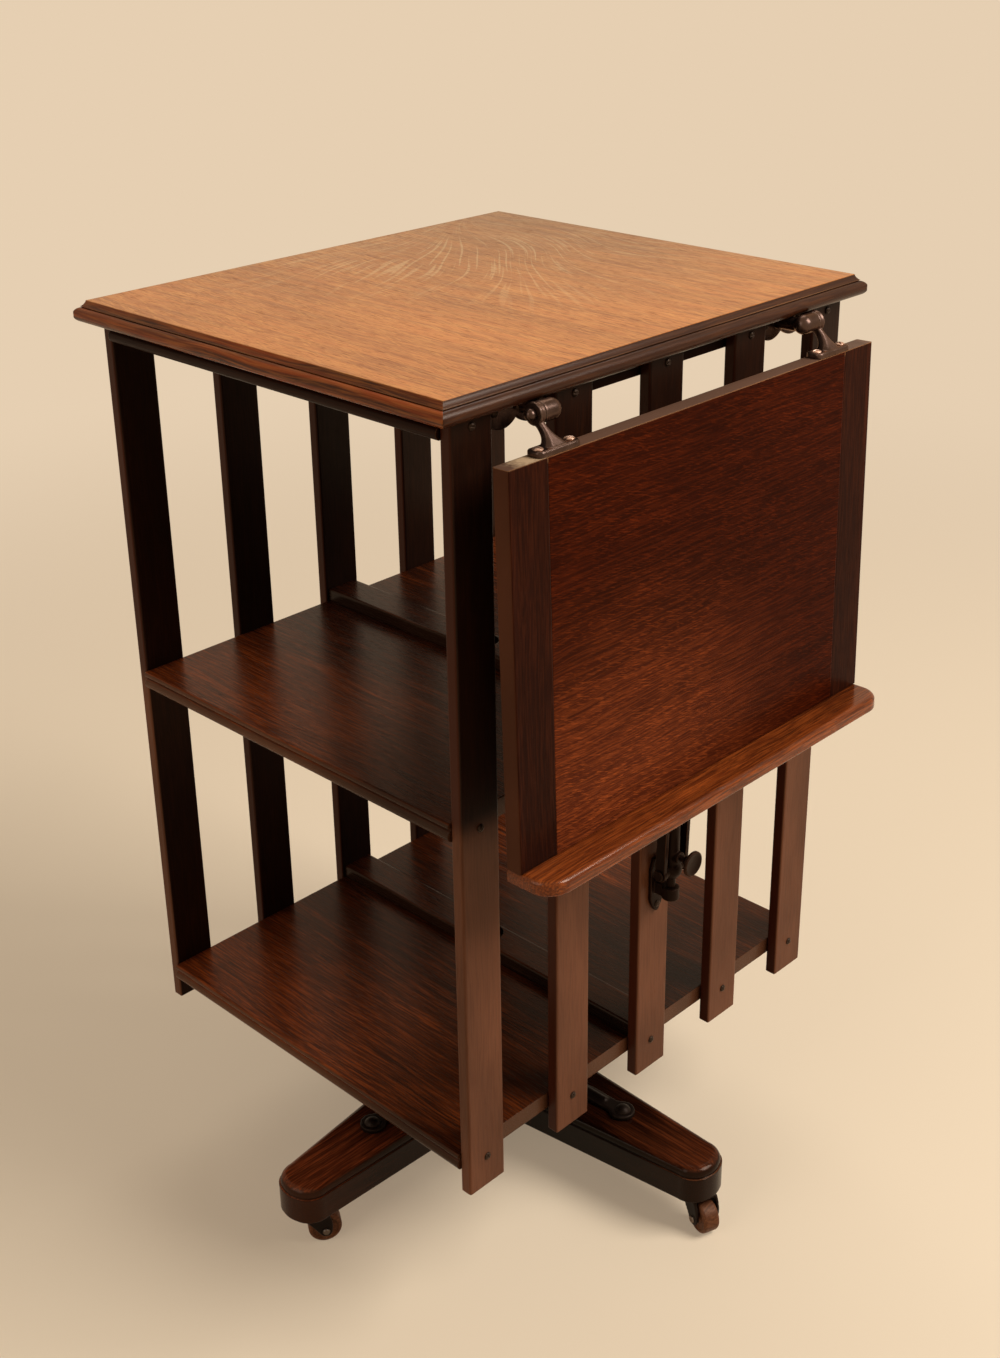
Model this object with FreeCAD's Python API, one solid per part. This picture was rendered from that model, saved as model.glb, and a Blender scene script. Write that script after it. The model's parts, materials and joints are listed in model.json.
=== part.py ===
"""Revolving oak bookcase on a castored cross base, with an adjustable reading slope.

The floor is z = 0 and the spindle stands on x = y = 0. The open faces look along -Y and +Y,
the slatted sides along -X and +X, and the reading slope hangs on the +X side.
All sizes are in millimetres.
"""
import FreeCAD, Part
import math
import os

V = FreeCAD.Vector
ORIGIN = V(0, 0, 0)
X_AXIS = V(1, 0, 0)
Y_AXIS = V(0, 1, 0)
Z_AXIS = V(0, 0, 1)

# Case
HEIGHT = 895.0
TOP_X = 464.0
TOP_Y = 532.0
TOP_THICK = 19.0
TOP_CORNER_R = 2.0
SHELF_THICK = 17.0
SHELF_HALF_X = 206.0
SHELF_HALF_Y = 249.0
MIDDLE_SHELF_Z = 538.5
BOTTOM_SHELF_Z = 205.0
SLAT_COUNT = 5
SLAT_PITCH = 112.0
SLAT_WIDTH = 43.0
SLAT_THICK = 12.0
SLAT_BOTTOM_Z = 164.0
SLAT_ARRIS_R = 2.2
STOP_WIDTH = 36.0
STOP_HEIGHT = 13.0
SCREW_HEAD_R = 3.5
SCREW_HEAD_HIGH = 2.4
SCREW_SHANK_R = 1.8
SCREW_LENGTH = 24.0
SCREW_FLAT_HIGH = 1.8
BUSH_R = 15.0
BUSH_FLANGE_R = 27.0
BUSH_FLANGE = 4.0

# Base and spindle
BASE_TURN = 2.6
ARM_REACH = 292.5
ARM_END_HALF = 27.5
ARM_ROOT_HALF = 46.0
ARM_BOTTOM_Z = 41.5
ARM_STEP_Z = 69.0
ARM_TOP_Z = 79.0
ARM_STEP_IN = 1.4
ARM_OVOLO_R = 7.5
ARM_COUNT = 4
LAP_Z = 60.0
SPINDLE_R = 10.0
SPINDLE_TOP_Z = 855.0
RUNNING_GAP = 0.05
HUB_R = 46.0
HUB_BOSS_R = 21.0
HUB_TOP_Z = 128.0
STRAP_HALF = 10.0
STRAP_THICK = 5.0
STRAP_PAD_R = 12.0
STRAP_REACH = 178.0
RIB_R = 5.5
RIB_REACH = 157.0
BOLT_HEAD_R = 8.0
BOLT_HEAD_HIGH = 5.0
BOLT_SHANK_R = 3.5
BOLT_LENGTH = 22.0

# Castors
CASTOR_REACH = 270.0
CASTOR_TRAIL = 16.0
CASTOR_HEADINGS = (-20.0, 64.0, 128.0, 58.0)
WHEEL_R = 16.5
WHEEL_HALF = 9.0
WHEEL_EASE = 3.5
WHEEL_DISH = 1.2
WHEEL_BOSS_R = 6.0
AXLE_R = 2.5
PINTLE_R = 4.0
HORN_HALF = 13.4
HORN_CHEEK = 2.8
HORN_CROWN_Z = 35.0
HORN_TOP_Z = 38.0
SOCKET_R = 7.0
SOCKET_PLATE_R = 17.0
SOCKET_TOP_Z = 62.0

# Reading slope, drawn hanging plumb and then swung to its resting lean
HINGE_X = 237.0
HINGE_Z = 870.0
SLOPE_LEAN = 1.5
BOARD_BACK_X = 245.2
BOARD_THICK = 16.0
BOARD_HALF_Y = 232.0
BOARD_TOP_Z = 844.3
BOARD_HEIGHT = 333.0
CLEAT_WIDTH = 42.0
LEDGE_DEPTH = 48.0
LEDGE_THICK = 13.0
LEDGE_CORNER_R = 22.0
LEDGE_ARRIS_R = 4.5
HINGE_Y = 175.0
HINGE_HEAD_R = 8.6
HINGE_LIP_R = 9.2
HINGE_LIP = 1.6
HINGE_GAP = 0.4
HINGE_PIN_R = 4.0
HINGE_BALL_R = 4.8
KNUCKLE_Y = 176.5
KNUCKLE_HALF = 2.9
DOME_Y = 161.0
STEM_ROOT_R = 6.5
STEM_TIP_R = 6.0
FOOT_HALF_LONG = 23.0
FOOT_HALF_WIDE = 8.0
FOOT_ROUND = 5.0
FOOT_THICK = 5.0
FOOT_ARRIS_R = 1.6
FOOT_SCREW = 17.0
FLANGE_HALF = 31.0
FLANGE_THICK = 3.5
FLANGE_SCREW = 24.0

# Stay under the reading slope
COLLAR_Z = 397.0
COLLAR_R = 7.2
COLLAR_BALL_R = 9.8
COLLAR_TOP_Z = 444.0
ROD_R = 4.2
ROD_BOTTOM_Z = 364.0
ROD_TOP_Z = 722.0
STAY_INNER = 13.0
STAY_THICK = 4.0
STAY_BACK_GAP = 5.6
STAY_TOP_R = 4.5
STAY_EYE_R = 6.5
STAY_PIN_R = 2.5
TRUNNION_R = 3.0
THUMB_Z = 412.0
THUMB_DISC_R = 12.0
THUMB_DISC_THICK = 4.0
THUMB_DISC_X = 259.0
THUMB_STEM_R = 2.6
PLATE_HALF = 9.0
PLATE_THICK = 3.5
EYE_R = 8.0
EYE_HALF = 6.0
LOWER_EYE_Z = 372.0
UPPER_EYE_Z = 714.0
LUG_THICK = 3.0
LUG_GAP = 0.5
LUG_EAR = 3.2
LUG_EAR_R = 5.0
LUG_OUTER = 40.0
LUG_HALF_HIGH = 16.0
LUG_CORNER_R = 8.0
LUG_SCREW_Y = 31.0
LUG_SCREW_RISE = 9.0

SLAT_OUTER_X = SHELF_HALF_X + SLAT_THICK
TOP_UNDER_Z = HEIGHT - TOP_THICK
SUB_TOP_Z = TOP_UNDER_Z
SHELF_TOPS = {"sub_top": SUB_TOP_Z, "shelf_middle": MIDDLE_SHELF_Z, "shelf_bottom": BOTTOM_SHELF_Z}
BOARD_BOTTOM_Z = BOARD_TOP_Z - BOARD_HEIGHT
HINGE_POINT = V(HINGE_X, 0, HINGE_Z)
STAY_TOP_Z = (HINGE_Z + COLLAR_Z) / 2.0
LUG_INNER = STAY_INNER + STAY_THICK + LUG_GAP
HINGE_GAP_MIDDLE = 1.5 * SLAT_PITCH


def on_xy(z):
    """Places an outline's pairs on the level plane at z."""
    return lambda u, v: V(u, v, z)


def on_xz(y):
    """Places an outline's pairs on the upright plane across Y at y."""
    return lambda u, v: V(u, y, v)


def on_yz(x):
    """Places an outline's pairs on the upright plane across X at x."""
    return lambda u, v: V(x, u, v)


def outline(steps, place):
    """Closed face: a pair is a straight run, two pairs are an arc through the first to the second."""
    start = place(*steps[0])
    here = start
    edges = []
    for step in steps[1:]:
        if isinstance(step[0], tuple):
            end = place(*step[1])
            edges.append(Part.Arc(here, place(*step[0]), end).toShape())
        else:
            end = place(*step)
            edges.append(Part.LineSegment(here, end).toShape())
        here = end
    if here.distanceToPoint(start) > 1e-6:
        edges.append(Part.LineSegment(here, start).toShape())
    return Part.Face(Part.Wire(edges))


def flip(pair):
    """Mirror of an outline's pair across its second axis."""
    return (-pair[0], pair[1])


def both_sides(side):
    """Whole outline of a symmetric section from its right-hand side, listed from one end to the other."""
    ends = [step[1] if isinstance(step[0], tuple) else step for step in side]
    steps = list(side) + [flip(ends[-1])]
    for index in range(len(side) - 1, 0, -1):
        target = flip(ends[index - 1])
        if isinstance(side[index][0], tuple):
            steps.append((flip(side[index][0]), target))
        else:
            steps.append(target)
    return steps


def box(low, high):
    """Block between two corners."""
    size = [high[i] - low[i] for i in range(3)]
    return Part.makeBox(size[0], size[1], size[2], V(*low))


def upright_edges(shape):
    """Straight edges of a shape that run along Z."""
    return [e for e in shape.Edges if abs(e.BoundBox.ZLength - e.Length) < 1e-6]


def edges_at_z(shape, z):
    """Edges of a shape that lie level at height z."""
    return [e for e in shape.Edges if abs(e.BoundBox.ZMin - z) < 1e-6 and abs(e.BoundBox.ZMax - z) < 1e-6]


def round_head(radius, high, shank_r, length, seat, direction):
    """Screw with a domed head: its seat point is under the head, and direction points out of the work."""
    crown_r = (radius * radius + high * high) / (2.0 * high)
    bend_r = 0.75 * radius
    bend = (bend_r, high - crown_r + math.sqrt(crown_r ** 2 - bend_r ** 2))
    profile = [(0, -length), (shank_r, -length), (shank_r, 0), (radius, 0), (bend, (0, high))]
    screw = outline(profile, on_xz(0)).revolve(ORIGIN, Z_AXIS, 360)
    screw.Placement = FreeCAD.Placement(seat, FreeCAD.Rotation(Z_AXIS, direction))
    return screw


def wood_screw(high, length, seat, direction):
    """Small domed wood screw."""
    return round_head(SCREW_HEAD_R, high, SCREW_SHANK_R, length, seat, direction)


def top_edge(half):
    """Side of the top board: bullnose, fine quirk and hollow chamfer up to the flat top."""
    bull_r = 6.5
    quirk_deep = 0.8
    quirk_high = 0.7
    lip_in = 5.2
    flat_in = 9.2
    hollow_deep = 0.5
    root = half - bull_r
    nose_top = TOP_UNDER_Z + 2 * bull_r
    lip_z = nose_top + quirk_high
    hollow = (half - (lip_in + flat_in) / 2 - hollow_deep, (lip_z + HEIGHT) / 2 - hollow_deep)
    return [(root, TOP_UNDER_Z), ((half, TOP_UNDER_Z + bull_r), (root, nose_top)),
            (root - quirk_deep, nose_top + quirk_high / 2), (half - lip_in, lip_z),
            (hollow, (half - flat_in, HEIGHT))]


def make_top_board():
    """Top board with its moulded edge mitred round four sides."""
    sides = outline(both_sides(top_edge(TOP_X / 2)), on_xz(-TOP_Y / 2)).extrude(V(0, TOP_Y, 0))
    fronts = outline(both_sides(top_edge(TOP_Y / 2)), on_yz(-TOP_X / 2)).extrude(V(TOP_X, 0, 0))
    blank = box((-TOP_X / 2, -TOP_Y / 2, TOP_UNDER_Z), (TOP_X / 2, TOP_Y / 2, HEIGHT))
    blank = blank.makeFillet(TOP_CORNER_R, upright_edges(blank))
    return sides.common(fronts).common(blank)


def reeded_edge(top):
    """Front edge of a shelf: a narrow reed over a broad one, with a quirk between them."""
    half = SHELF_HALF_Y
    bottom = top - SHELF_THICK
    root = half - 3.0
    quirk_z = top - 6.0
    quirk = 0.7
    return [(root, bottom), ((half, bottom + 5.2), (root, quirk_z - quirk)), (root - quirk, quirk_z),
            (root, quirk_z + quirk), ((half - 0.3, top - 2.7), (root, top))]


def make_shelf(top, bored):
    """Shelf board between the slats, reeded on both open faces, bored for the spindle where it passes."""
    shelf = outline(both_sides(reeded_edge(top)), on_yz(-SHELF_HALF_X)).extrude(V(2 * SHELF_HALF_X, 0, 0))
    if bored:
        shelf = shelf.cut(Part.makeCylinder(BUSH_R, 2 * SHELF_THICK, V(0, 0, top - 1.5 * SHELF_THICK)))
    return shelf


def make_slat(side, index):
    """Upright slat, its arrises eased and its foot lightly chamfered."""
    centre = (index - (SLAT_COUNT - 1) / 2.0) * SLAT_PITCH
    xs = sorted((side * SHELF_HALF_X, side * SLAT_OUTER_X))
    half = SLAT_WIDTH / 2
    slat = box((xs[0], centre - half, SLAT_BOTTOM_Z), (xs[1], centre + half, TOP_UNDER_Z))
    slat = slat.makeFillet(SLAT_ARRIS_R, upright_edges(slat))
    return slat.makeChamfer(1.5, edges_at_z(slat, SLAT_BOTTOM_Z))


def make_slat_screws():
    """Round-head screws that hold every slat to the sub-top and the two shelves."""
    screws = []
    for side in (-1, 1):
        for index in range(SLAT_COUNT):
            y = (index - (SLAT_COUNT - 1) / 2.0) * SLAT_PITCH
            for top in SHELF_TOPS.values():
                seat = V(side * SLAT_OUTER_X, y, top - SHELF_THICK / 2)
                screws.append(wood_screw(SCREW_HEAD_HIGH, SCREW_LENGTH, seat, V(side, 0, 0)))
    return Part.makeCompound(screws)


def make_book_stop(shelf_top):
    """Low batten along the middle of a shelf that keeps the two rows of books apart."""
    half = STOP_WIDTH / 2
    section = [(half, shelf_top), (half, shelf_top + STOP_HEIGHT - 2.5),
               ((half - 0.73, shelf_top + STOP_HEIGHT - 0.73), (half - 2.5, shelf_top + STOP_HEIGHT))]
    stop = outline(both_sides(section), on_yz(-SHELF_HALF_X)).extrude(V(2 * SHELF_HALF_X, 0, 0))
    return stop.cut(Part.makeCylinder(BUSH_R, 2 * STOP_HEIGHT, V(0, 0, shelf_top - 1)))


def make_bottom_bush():
    """Flanged bush under the bottom shelf that steadies the case on the spindle."""
    under = BOTTOM_SHELF_Z - SHELF_THICK
    bore = SPINDLE_R + RUNNING_GAP
    profile = [(bore, under - BUSH_FLANGE), (BUSH_FLANGE_R, under - BUSH_FLANGE), (BUSH_FLANGE_R, under),
               (BUSH_R, under), (BUSH_R, BOTTOM_SHELF_Z), (bore, BOTTOM_SHELF_Z)]
    return outline(profile, on_xz(0)).revolve(ORIGIN, Z_AXIS, 360)


def make_pivot_cup():
    """Flanged cup under the sub-top that turns on the head of the spindle and carries the case."""
    roof = SUB_TOP_Z - SHELF_THICK
    bore = SPINDLE_R + RUNNING_GAP
    cup_bottom = roof - 30.0
    cup_r = 17.0
    bore_top = SPINDLE_TOP_Z + 0.4
    flange_r = BUSH_FLANGE_R + 5
    flange_z = roof - BUSH_FLANGE
    profile = [(bore, cup_bottom), (cup_r, cup_bottom), (cup_r + 2, flange_z), (flange_r, flange_z),
               (flange_r, roof), (0, roof), (0, bore_top), (bore, bore_top)]
    return outline(profile, on_xz(0)).revolve(ORIGIN, Z_AXIS, 360)


def make_spindle():
    """Steel spindle standing in the hub, with a coned head."""
    profile = [(0, ARM_TOP_Z), (SPINDLE_R, ARM_TOP_Z), (SPINDLE_R, SPINDLE_TOP_Z - SPINDLE_R / 2),
               (SPINDLE_R / 2, SPINDLE_TOP_Z), (0, SPINDLE_TOP_Z)]
    return outline(profile, on_xz(0)).revolve(ORIGIN, Z_AXIS, 360)


def arm_outline(inset):
    """Plan of one long base board: tapered to both rounded ends, drawn inset from its full size."""
    reach = ARM_REACH - inset
    end = ARM_END_HALF - inset
    root = ARM_ROOT_HALF - inset
    corner_x = reach - 25.0
    nose_half = end * 0.36
    nose_x = reach - 1.6
    bend = (reach - 8.2, end * 0.79)
    return [(0, root), (ARM_ROOT_HALF, root), (corner_x, end), (bend, (nose_x, nose_half)),
            ((reach, 0), (nose_x, -nose_half)), ((bend[0], -bend[1]), (corner_x, -end)),
            (ARM_ROOT_HALF, -root), (0, -root)]


def half_arm(inset, low, high):
    """One half of a base board between two heights, along +X from the middle."""
    return outline(arm_outline(inset), on_xy(low)).extrude(V(0, 0, high - low))


def whole_arm(inset, low, high):
    """Base board between two heights, along X."""
    half = half_arm(inset, low, high)
    other = half.copy()
    other.rotate(ORIGIN, Z_AXIS, 180)
    return half.fuse(other).removeSplitter()


def make_arm_blank():
    """Base board along X with a step and an ovolo round its upper edge."""
    body = whole_arm(0, ARM_BOTTOM_Z, ARM_STEP_Z)
    cap = whole_arm(ARM_STEP_IN, ARM_STEP_Z, ARM_TOP_Z)
    cap = cap.makeFillet(ARM_OVOLO_R, edges_at_z(cap, ARM_TOP_Z))
    return body.fuse(cap).removeSplitter()


def castor_points():
    """Places of the castor pintles before the base is turned."""
    return [V(CASTOR_REACH, 0, 0), V(0, CASTOR_REACH, 0), V(-CASTOR_REACH, 0, 0), V(0, -CASTOR_REACH, 0)]


def make_base_boards():
    """The two base boards, halved into each other where they cross and bored for the castor sockets."""
    lower = make_arm_blank()
    upper = lower.copy()
    upper.rotate(ORIGIN, Z_AXIS, 90)
    far = 2 * ARM_REACH
    above = box((-far, -far, LAP_Z), (far, far, HEIGHT))
    below = box((-far, -far, 0), (far, far, LAP_Z))
    board_x = lower.cut(upper.common(above))
    board_y = upper.cut(lower.common(below))
    for point in castor_points():
        hole = Part.makeCylinder(SOCKET_R, SOCKET_TOP_Z + 1.0, point)
        board_x = board_x.cut(hole)
        board_y = board_y.cut(hole)
    return board_x, board_y


def make_spider():
    """Cast spider: hub for the spindle and a ribbed strap down each base arm to a bolted pad."""
    strap_top = ARM_TOP_Z + STRAP_THICK
    flare = ((HUB_BOSS_R + 1.8, strap_top + 10), (HUB_BOSS_R, strap_top + 20))
    hub_side = [(HUB_R, ARM_TOP_Z), (HUB_R, strap_top), (HUB_BOSS_R + 6, strap_top + 4), flare,
                (HUB_BOSS_R - 2, HUB_TOP_Z), (0, HUB_TOP_Z), (0, ARM_TOP_Z)]
    spider = outline(hub_side, on_xz(0)).revolve(ORIGIN, Z_AXIS, 360)
    waist = 0.8 * STRAP_HALF
    waist_x = STRAP_REACH - STRAP_PAD_R
    pad_x = STRAP_REACH - STRAP_PAD_R / 2
    plan = [(0, -STRAP_HALF), (waist_x, -waist), (pad_x, -STRAP_PAD_R),
            ((STRAP_REACH + STRAP_PAD_R, 0), (pad_x, STRAP_PAD_R)), (waist_x, waist), (0, STRAP_HALF)]
    strap = outline(plan, on_xy(ARM_TOP_Z)).extrude(V(0, 0, STRAP_THICK))
    rib = Part.makeCone(RIB_R + 3, RIB_R - 1.5, RIB_REACH, V(0, 0, strap_top - 1.5), X_AXIS)
    rib = rib.common(box((0, -STRAP_HALF, ARM_TOP_Z), (RIB_REACH, STRAP_HALF, HUB_TOP_Z)))
    strap = strap.fuse(rib)
    for index in range(ARM_COUNT):
        turned = strap.copy()
        turned.rotate(ORIGIN, Z_AXIS, 90.0 * index)
        spider = spider.fuse(turned)
    bore = Part.makeCylinder(SPINDLE_R, HUB_TOP_Z, V(0, 0, ARM_TOP_Z))
    for index in range(ARM_COUNT):
        angle = math.pi / 2 * index
        place = V(STRAP_REACH * math.cos(angle), STRAP_REACH * math.sin(angle), 0)
        bore = bore.fuse(Part.makeCylinder(BOLT_SHANK_R, HEIGHT, place))
    return spider.removeSplitter().cut(bore)


def make_spider_bolts():
    """Dome-head bolts that hold the spider's pads to the base boards."""
    bolts = []
    for index in range(ARM_COUNT):
        angle = math.pi / 2 * index
        seat = V(STRAP_REACH * math.cos(angle), STRAP_REACH * math.sin(angle), ARM_TOP_Z + STRAP_THICK)
        bolts.append(round_head(BOLT_HEAD_R, BOLT_HEAD_HIGH, BOLT_SHANK_R, BOLT_LENGTH, seat, Z_AXIS))
    return Part.makeCompound(bolts)


def turn_base(shape):
    """Base piece turned to where the cross stands under the case."""
    shape.rotate(ORIGIN, Z_AXIS, BASE_TURN)
    return shape


def make_castor_sockets():
    """Plates with pintle sockets let into the undersides of the base arms."""
    sockets = []
    bore = PINTLE_R + RUNNING_GAP
    plate_bottom = ARM_BOTTOM_Z - 3.0
    rim = 1.5
    plate = [(SOCKET_PLATE_R - rim, plate_bottom), (SOCKET_PLATE_R, plate_bottom + rim),
             (SOCKET_PLATE_R, ARM_BOTTOM_Z), (SOCKET_R, ARM_BOTTOM_Z)]
    profile = [(bore, plate_bottom)] + plate + [(SOCKET_R, SOCKET_TOP_Z), (bore, SOCKET_TOP_Z)]
    socket = outline(profile, on_xz(0)).revolve(ORIGIN, Z_AXIS, 360)
    for point in castor_points():
        copy = socket.copy()
        copy.translate(point)
        sockets.append(copy)
    return Part.makeCompound(sockets)


def make_castor_horn():
    """Castor horn with its pintle at the origin and its two cheeks trailing along +X."""
    crown = Part.makeCylinder(HORN_HALF, HORN_TOP_Z - HORN_CROWN_Z, V(0, 0, HORN_CROWN_Z))
    crown = crown.fuse(box((0, -HORN_HALF, HORN_CROWN_Z), (CASTOR_TRAIL + 2, HORN_HALF, HORN_TOP_Z)))
    cheek = [(-8.0, HORN_TOP_Z), ((3.0, 24.0), (11.2, 12.4)), ((CASTOR_TRAIL, 10.2), (21.6, 13.6)),
             ((22.8, 24.0), (CASTOR_TRAIL + 2, HORN_TOP_Z))]
    for low in (-HORN_HALF, HORN_HALF - HORN_CHEEK):
        crown = crown.fuse(outline(cheek, on_xz(low)).extrude(V(0, HORN_CHEEK, 0)))
    pintle = Part.makeCylinder(PINTLE_R, SOCKET_TOP_Z - 2.0 - HORN_TOP_Z, V(0, 0, HORN_TOP_Z))
    hole = Part.makeCylinder(AXLE_R, 4 * HORN_HALF, V(CASTOR_TRAIL, -2 * HORN_HALF, WHEEL_R), Y_AXIS)
    return crown.fuse(pintle).removeSplitter().cut(hole)


def make_castor_axle():
    """Riveted axle of a castor wheel, lying along Y."""
    reach = HORN_HALF + 1.6
    profile = [(0, -reach), (AXLE_R + 0.6, -reach), (AXLE_R + 1.4, -HORN_HALF), (AXLE_R, -HORN_HALF),
               (AXLE_R, HORN_HALF), (AXLE_R + 1.4, HORN_HALF), (AXLE_R + 0.6, reach), (0, reach)]
    axle = outline(profile, on_xy(0)).revolve(ORIGIN, Y_AXIS, 360)
    axle.translate(V(CASTOR_TRAIL, 0, WHEEL_R))
    return axle


def make_castor_wheel():
    """Turned wooden castor wheel with eased rims and dished sides."""
    bore = AXLE_R + RUNNING_GAP
    face = WHEEL_HALF - WHEEL_DISH
    rim = WHEEL_R - WHEEL_EASE
    shoulder = WHEEL_HALF - WHEEL_EASE
    bend = (1 - math.sqrt(0.5)) * WHEEL_EASE
    side = [(WHEEL_R, 0), (WHEEL_R, shoulder), ((WHEEL_R - bend, WHEEL_HALF - bend), (rim, WHEEL_HALF)),
            (rim - WHEEL_DISH, face), (WHEEL_BOSS_R + WHEEL_DISH, face), (WHEEL_BOSS_R, WHEEL_HALF),
            (bore, WHEEL_HALF), (bore, 0)]
    half = outline(side, on_xy(0)).revolve(ORIGIN, Y_AXIS, 360)
    wheel = half.fuse(half.mirror(ORIGIN, Y_AXIS)).removeSplitter()
    wheel.translate(V(CASTOR_TRAIL, 0, WHEEL_R))
    return wheel


def place_castor(shape, index):
    """Castor piece swung to its heading and set under its base arm."""
    shape.rotate(ORIGIN, Z_AXIS, CASTOR_HEADINGS[index] - BASE_TURN)
    shape.translate(castor_points()[index])
    return turn_base(shape)


def hang(shape):
    """Piece of the reading slope swung from plumb to its resting lean about the hinge."""
    shape.rotate(HINGE_POINT, V(0, -1, 0), SLOPE_LEAN)
    return shape


def ease(shape, radius, edges):
    """Shape with the given edges rounded."""
    return shape.makeFillet(radius, edges)


def make_slope_panel():
    """Reading panel between its two end cleats."""
    half = BOARD_HALF_Y - CLEAT_WIDTH
    return box((BOARD_BACK_X, -half, BOARD_BOTTOM_Z), (BOARD_BACK_X + BOARD_THICK, half, BOARD_TOP_Z))


def make_slope_cleat(side):
    """Cleat across one end of the reading panel, its outer arrises eased."""
    ys = sorted((side * (BOARD_HALF_Y - CLEAT_WIDTH), side * BOARD_HALF_Y))
    cleat = box((BOARD_BACK_X, ys[0], BOARD_BOTTOM_Z), (BOARD_BACK_X + BOARD_THICK, ys[1], BOARD_TOP_Z))
    outer = [e for e in upright_edges(cleat) if abs(e.Vertexes[0].Y - side * BOARD_HALF_Y) < 1e-6]
    return ease(cleat, 1.5, outer)


def make_book_ledge():
    """Ledge under the panel that a book stands on, rounded at its front corners and upper arris."""
    front = BOARD_BACK_X + LEDGE_DEPTH
    half = BOARD_HALF_Y
    bend = LEDGE_CORNER_R * (1 - math.sqrt(0.5))
    turn_x = front - LEDGE_CORNER_R
    turn_y = half - LEDGE_CORNER_R
    plan = [(BOARD_BACK_X, -half), (turn_x, -half), ((front - bend, bend - half), (front, -turn_y)),
            (front, turn_y), ((front - bend, half - bend), (turn_x, half)), (BOARD_BACK_X, half)]
    low = BOARD_BOTTOM_Z - LEDGE_THICK
    ledge = outline(plan, on_xy(low)).extrude(V(0, 0, LEDGE_THICK))
    panel_front = BOARD_BACK_X + BOARD_THICK
    rim = [e for e in edges_at_z(ledge, BOARD_BOTTOM_Z) if e.BoundBox.XMax > panel_front + 1]
    ledge = ease(ledge, LEDGE_ARRIS_R, rim)
    rim = [e for e in edges_at_z(ledge, low) if e.BoundBox.XMax > panel_front + 1]
    return ease(ledge, 2.0, rim)


def oblong(middle, half_x, half_y, corner, z):
    """Level rounded rectangle about a middle pair, as a face."""
    x, y = middle
    bend = corner * (1 - math.sqrt(0.5))
    low_x, high_x = x - half_x, x + half_x
    low_y, high_y = y - half_y, y + half_y
    steps = [(low_x + corner, low_y), (high_x - corner, low_y),
             ((high_x - bend, low_y + bend), (high_x, low_y + corner)), (high_x, high_y - corner),
             ((high_x - bend, high_y - bend), (high_x - corner, high_y)), (low_x + corner, high_y),
             ((low_x + bend, high_y - bend), (low_x, high_y - corner)), (low_x, low_y + corner),
             ((low_x + bend, low_y + bend), (low_x + corner, low_y))]
    return outline(steps, on_xy(z))


def make_hinge_neck(side):
    """Swan neck of a hinge, drawn in from the broad foot to the narrow knuckle."""
    foot_x = BOARD_BACK_X + BOARD_THICK / 2
    foot_top = BOARD_TOP_Z + FOOT_THICK
    knuckle = side * KNUCKLE_Y
    sections = [oblong((foot_x, side * HINGE_Y), 6.4, 11.5, 5.0, foot_top - 0.5),
                oblong((foot_x - 2.5, side * (HINGE_Y + 0.5)), 5.0, 7.0, 3.5, foot_top + 3.5),
                oblong((HINGE_X + 6.8, knuckle), 4.8, KNUCKLE_HALF, 2.2, HINGE_Z - 10.0),
                oblong((HINGE_X + 1.8, knuckle), 4.8, KNUCKLE_HALF, 2.2, HINGE_Z - 5.0)]
    return Part.makeLoft([face.OuterWire for face in sections], True, False)


def make_hinge_arm(side):
    """Moving half of a hinge: oblong foot, swan neck and a lipped knuckle round the pin."""
    foot_x = BOARD_BACK_X + BOARD_THICK / 2
    foot_top = BOARD_TOP_Z + FOOT_THICK
    foot = oblong((foot_x, side * HINGE_Y), FOOT_HALF_WIDE, FOOT_HALF_LONG, FOOT_ROUND, BOARD_TOP_Z)
    foot = foot.extrude(V(0, 0, FOOT_THICK))
    foot = foot.makeFillet(FOOT_ARRIS_R, edges_at_z(foot, foot_top))
    out = V(0, side, 0)
    inner_face = V(HINGE_X, side * (KNUCKLE_Y - KNUCKLE_HALF), HINGE_Z)
    lip_start = inner_face + out * (2 * KNUCKLE_HALF - HINGE_LIP)
    knuckle = Part.makeCylinder(HINGE_HEAD_R, 2 * KNUCKLE_HALF, inner_face, out)
    knuckle = knuckle.fuse(Part.makeCylinder(HINGE_LIP_R, HINGE_LIP, lip_start, out))
    bore = Part.makeCylinder(HINGE_PIN_R + RUNNING_GAP, 2 * KNUCKLE_HALF, inner_face, out)
    return foot.fuse(make_hinge_neck(side)).fuse(knuckle).removeSplitter().cut(bore)


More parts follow.
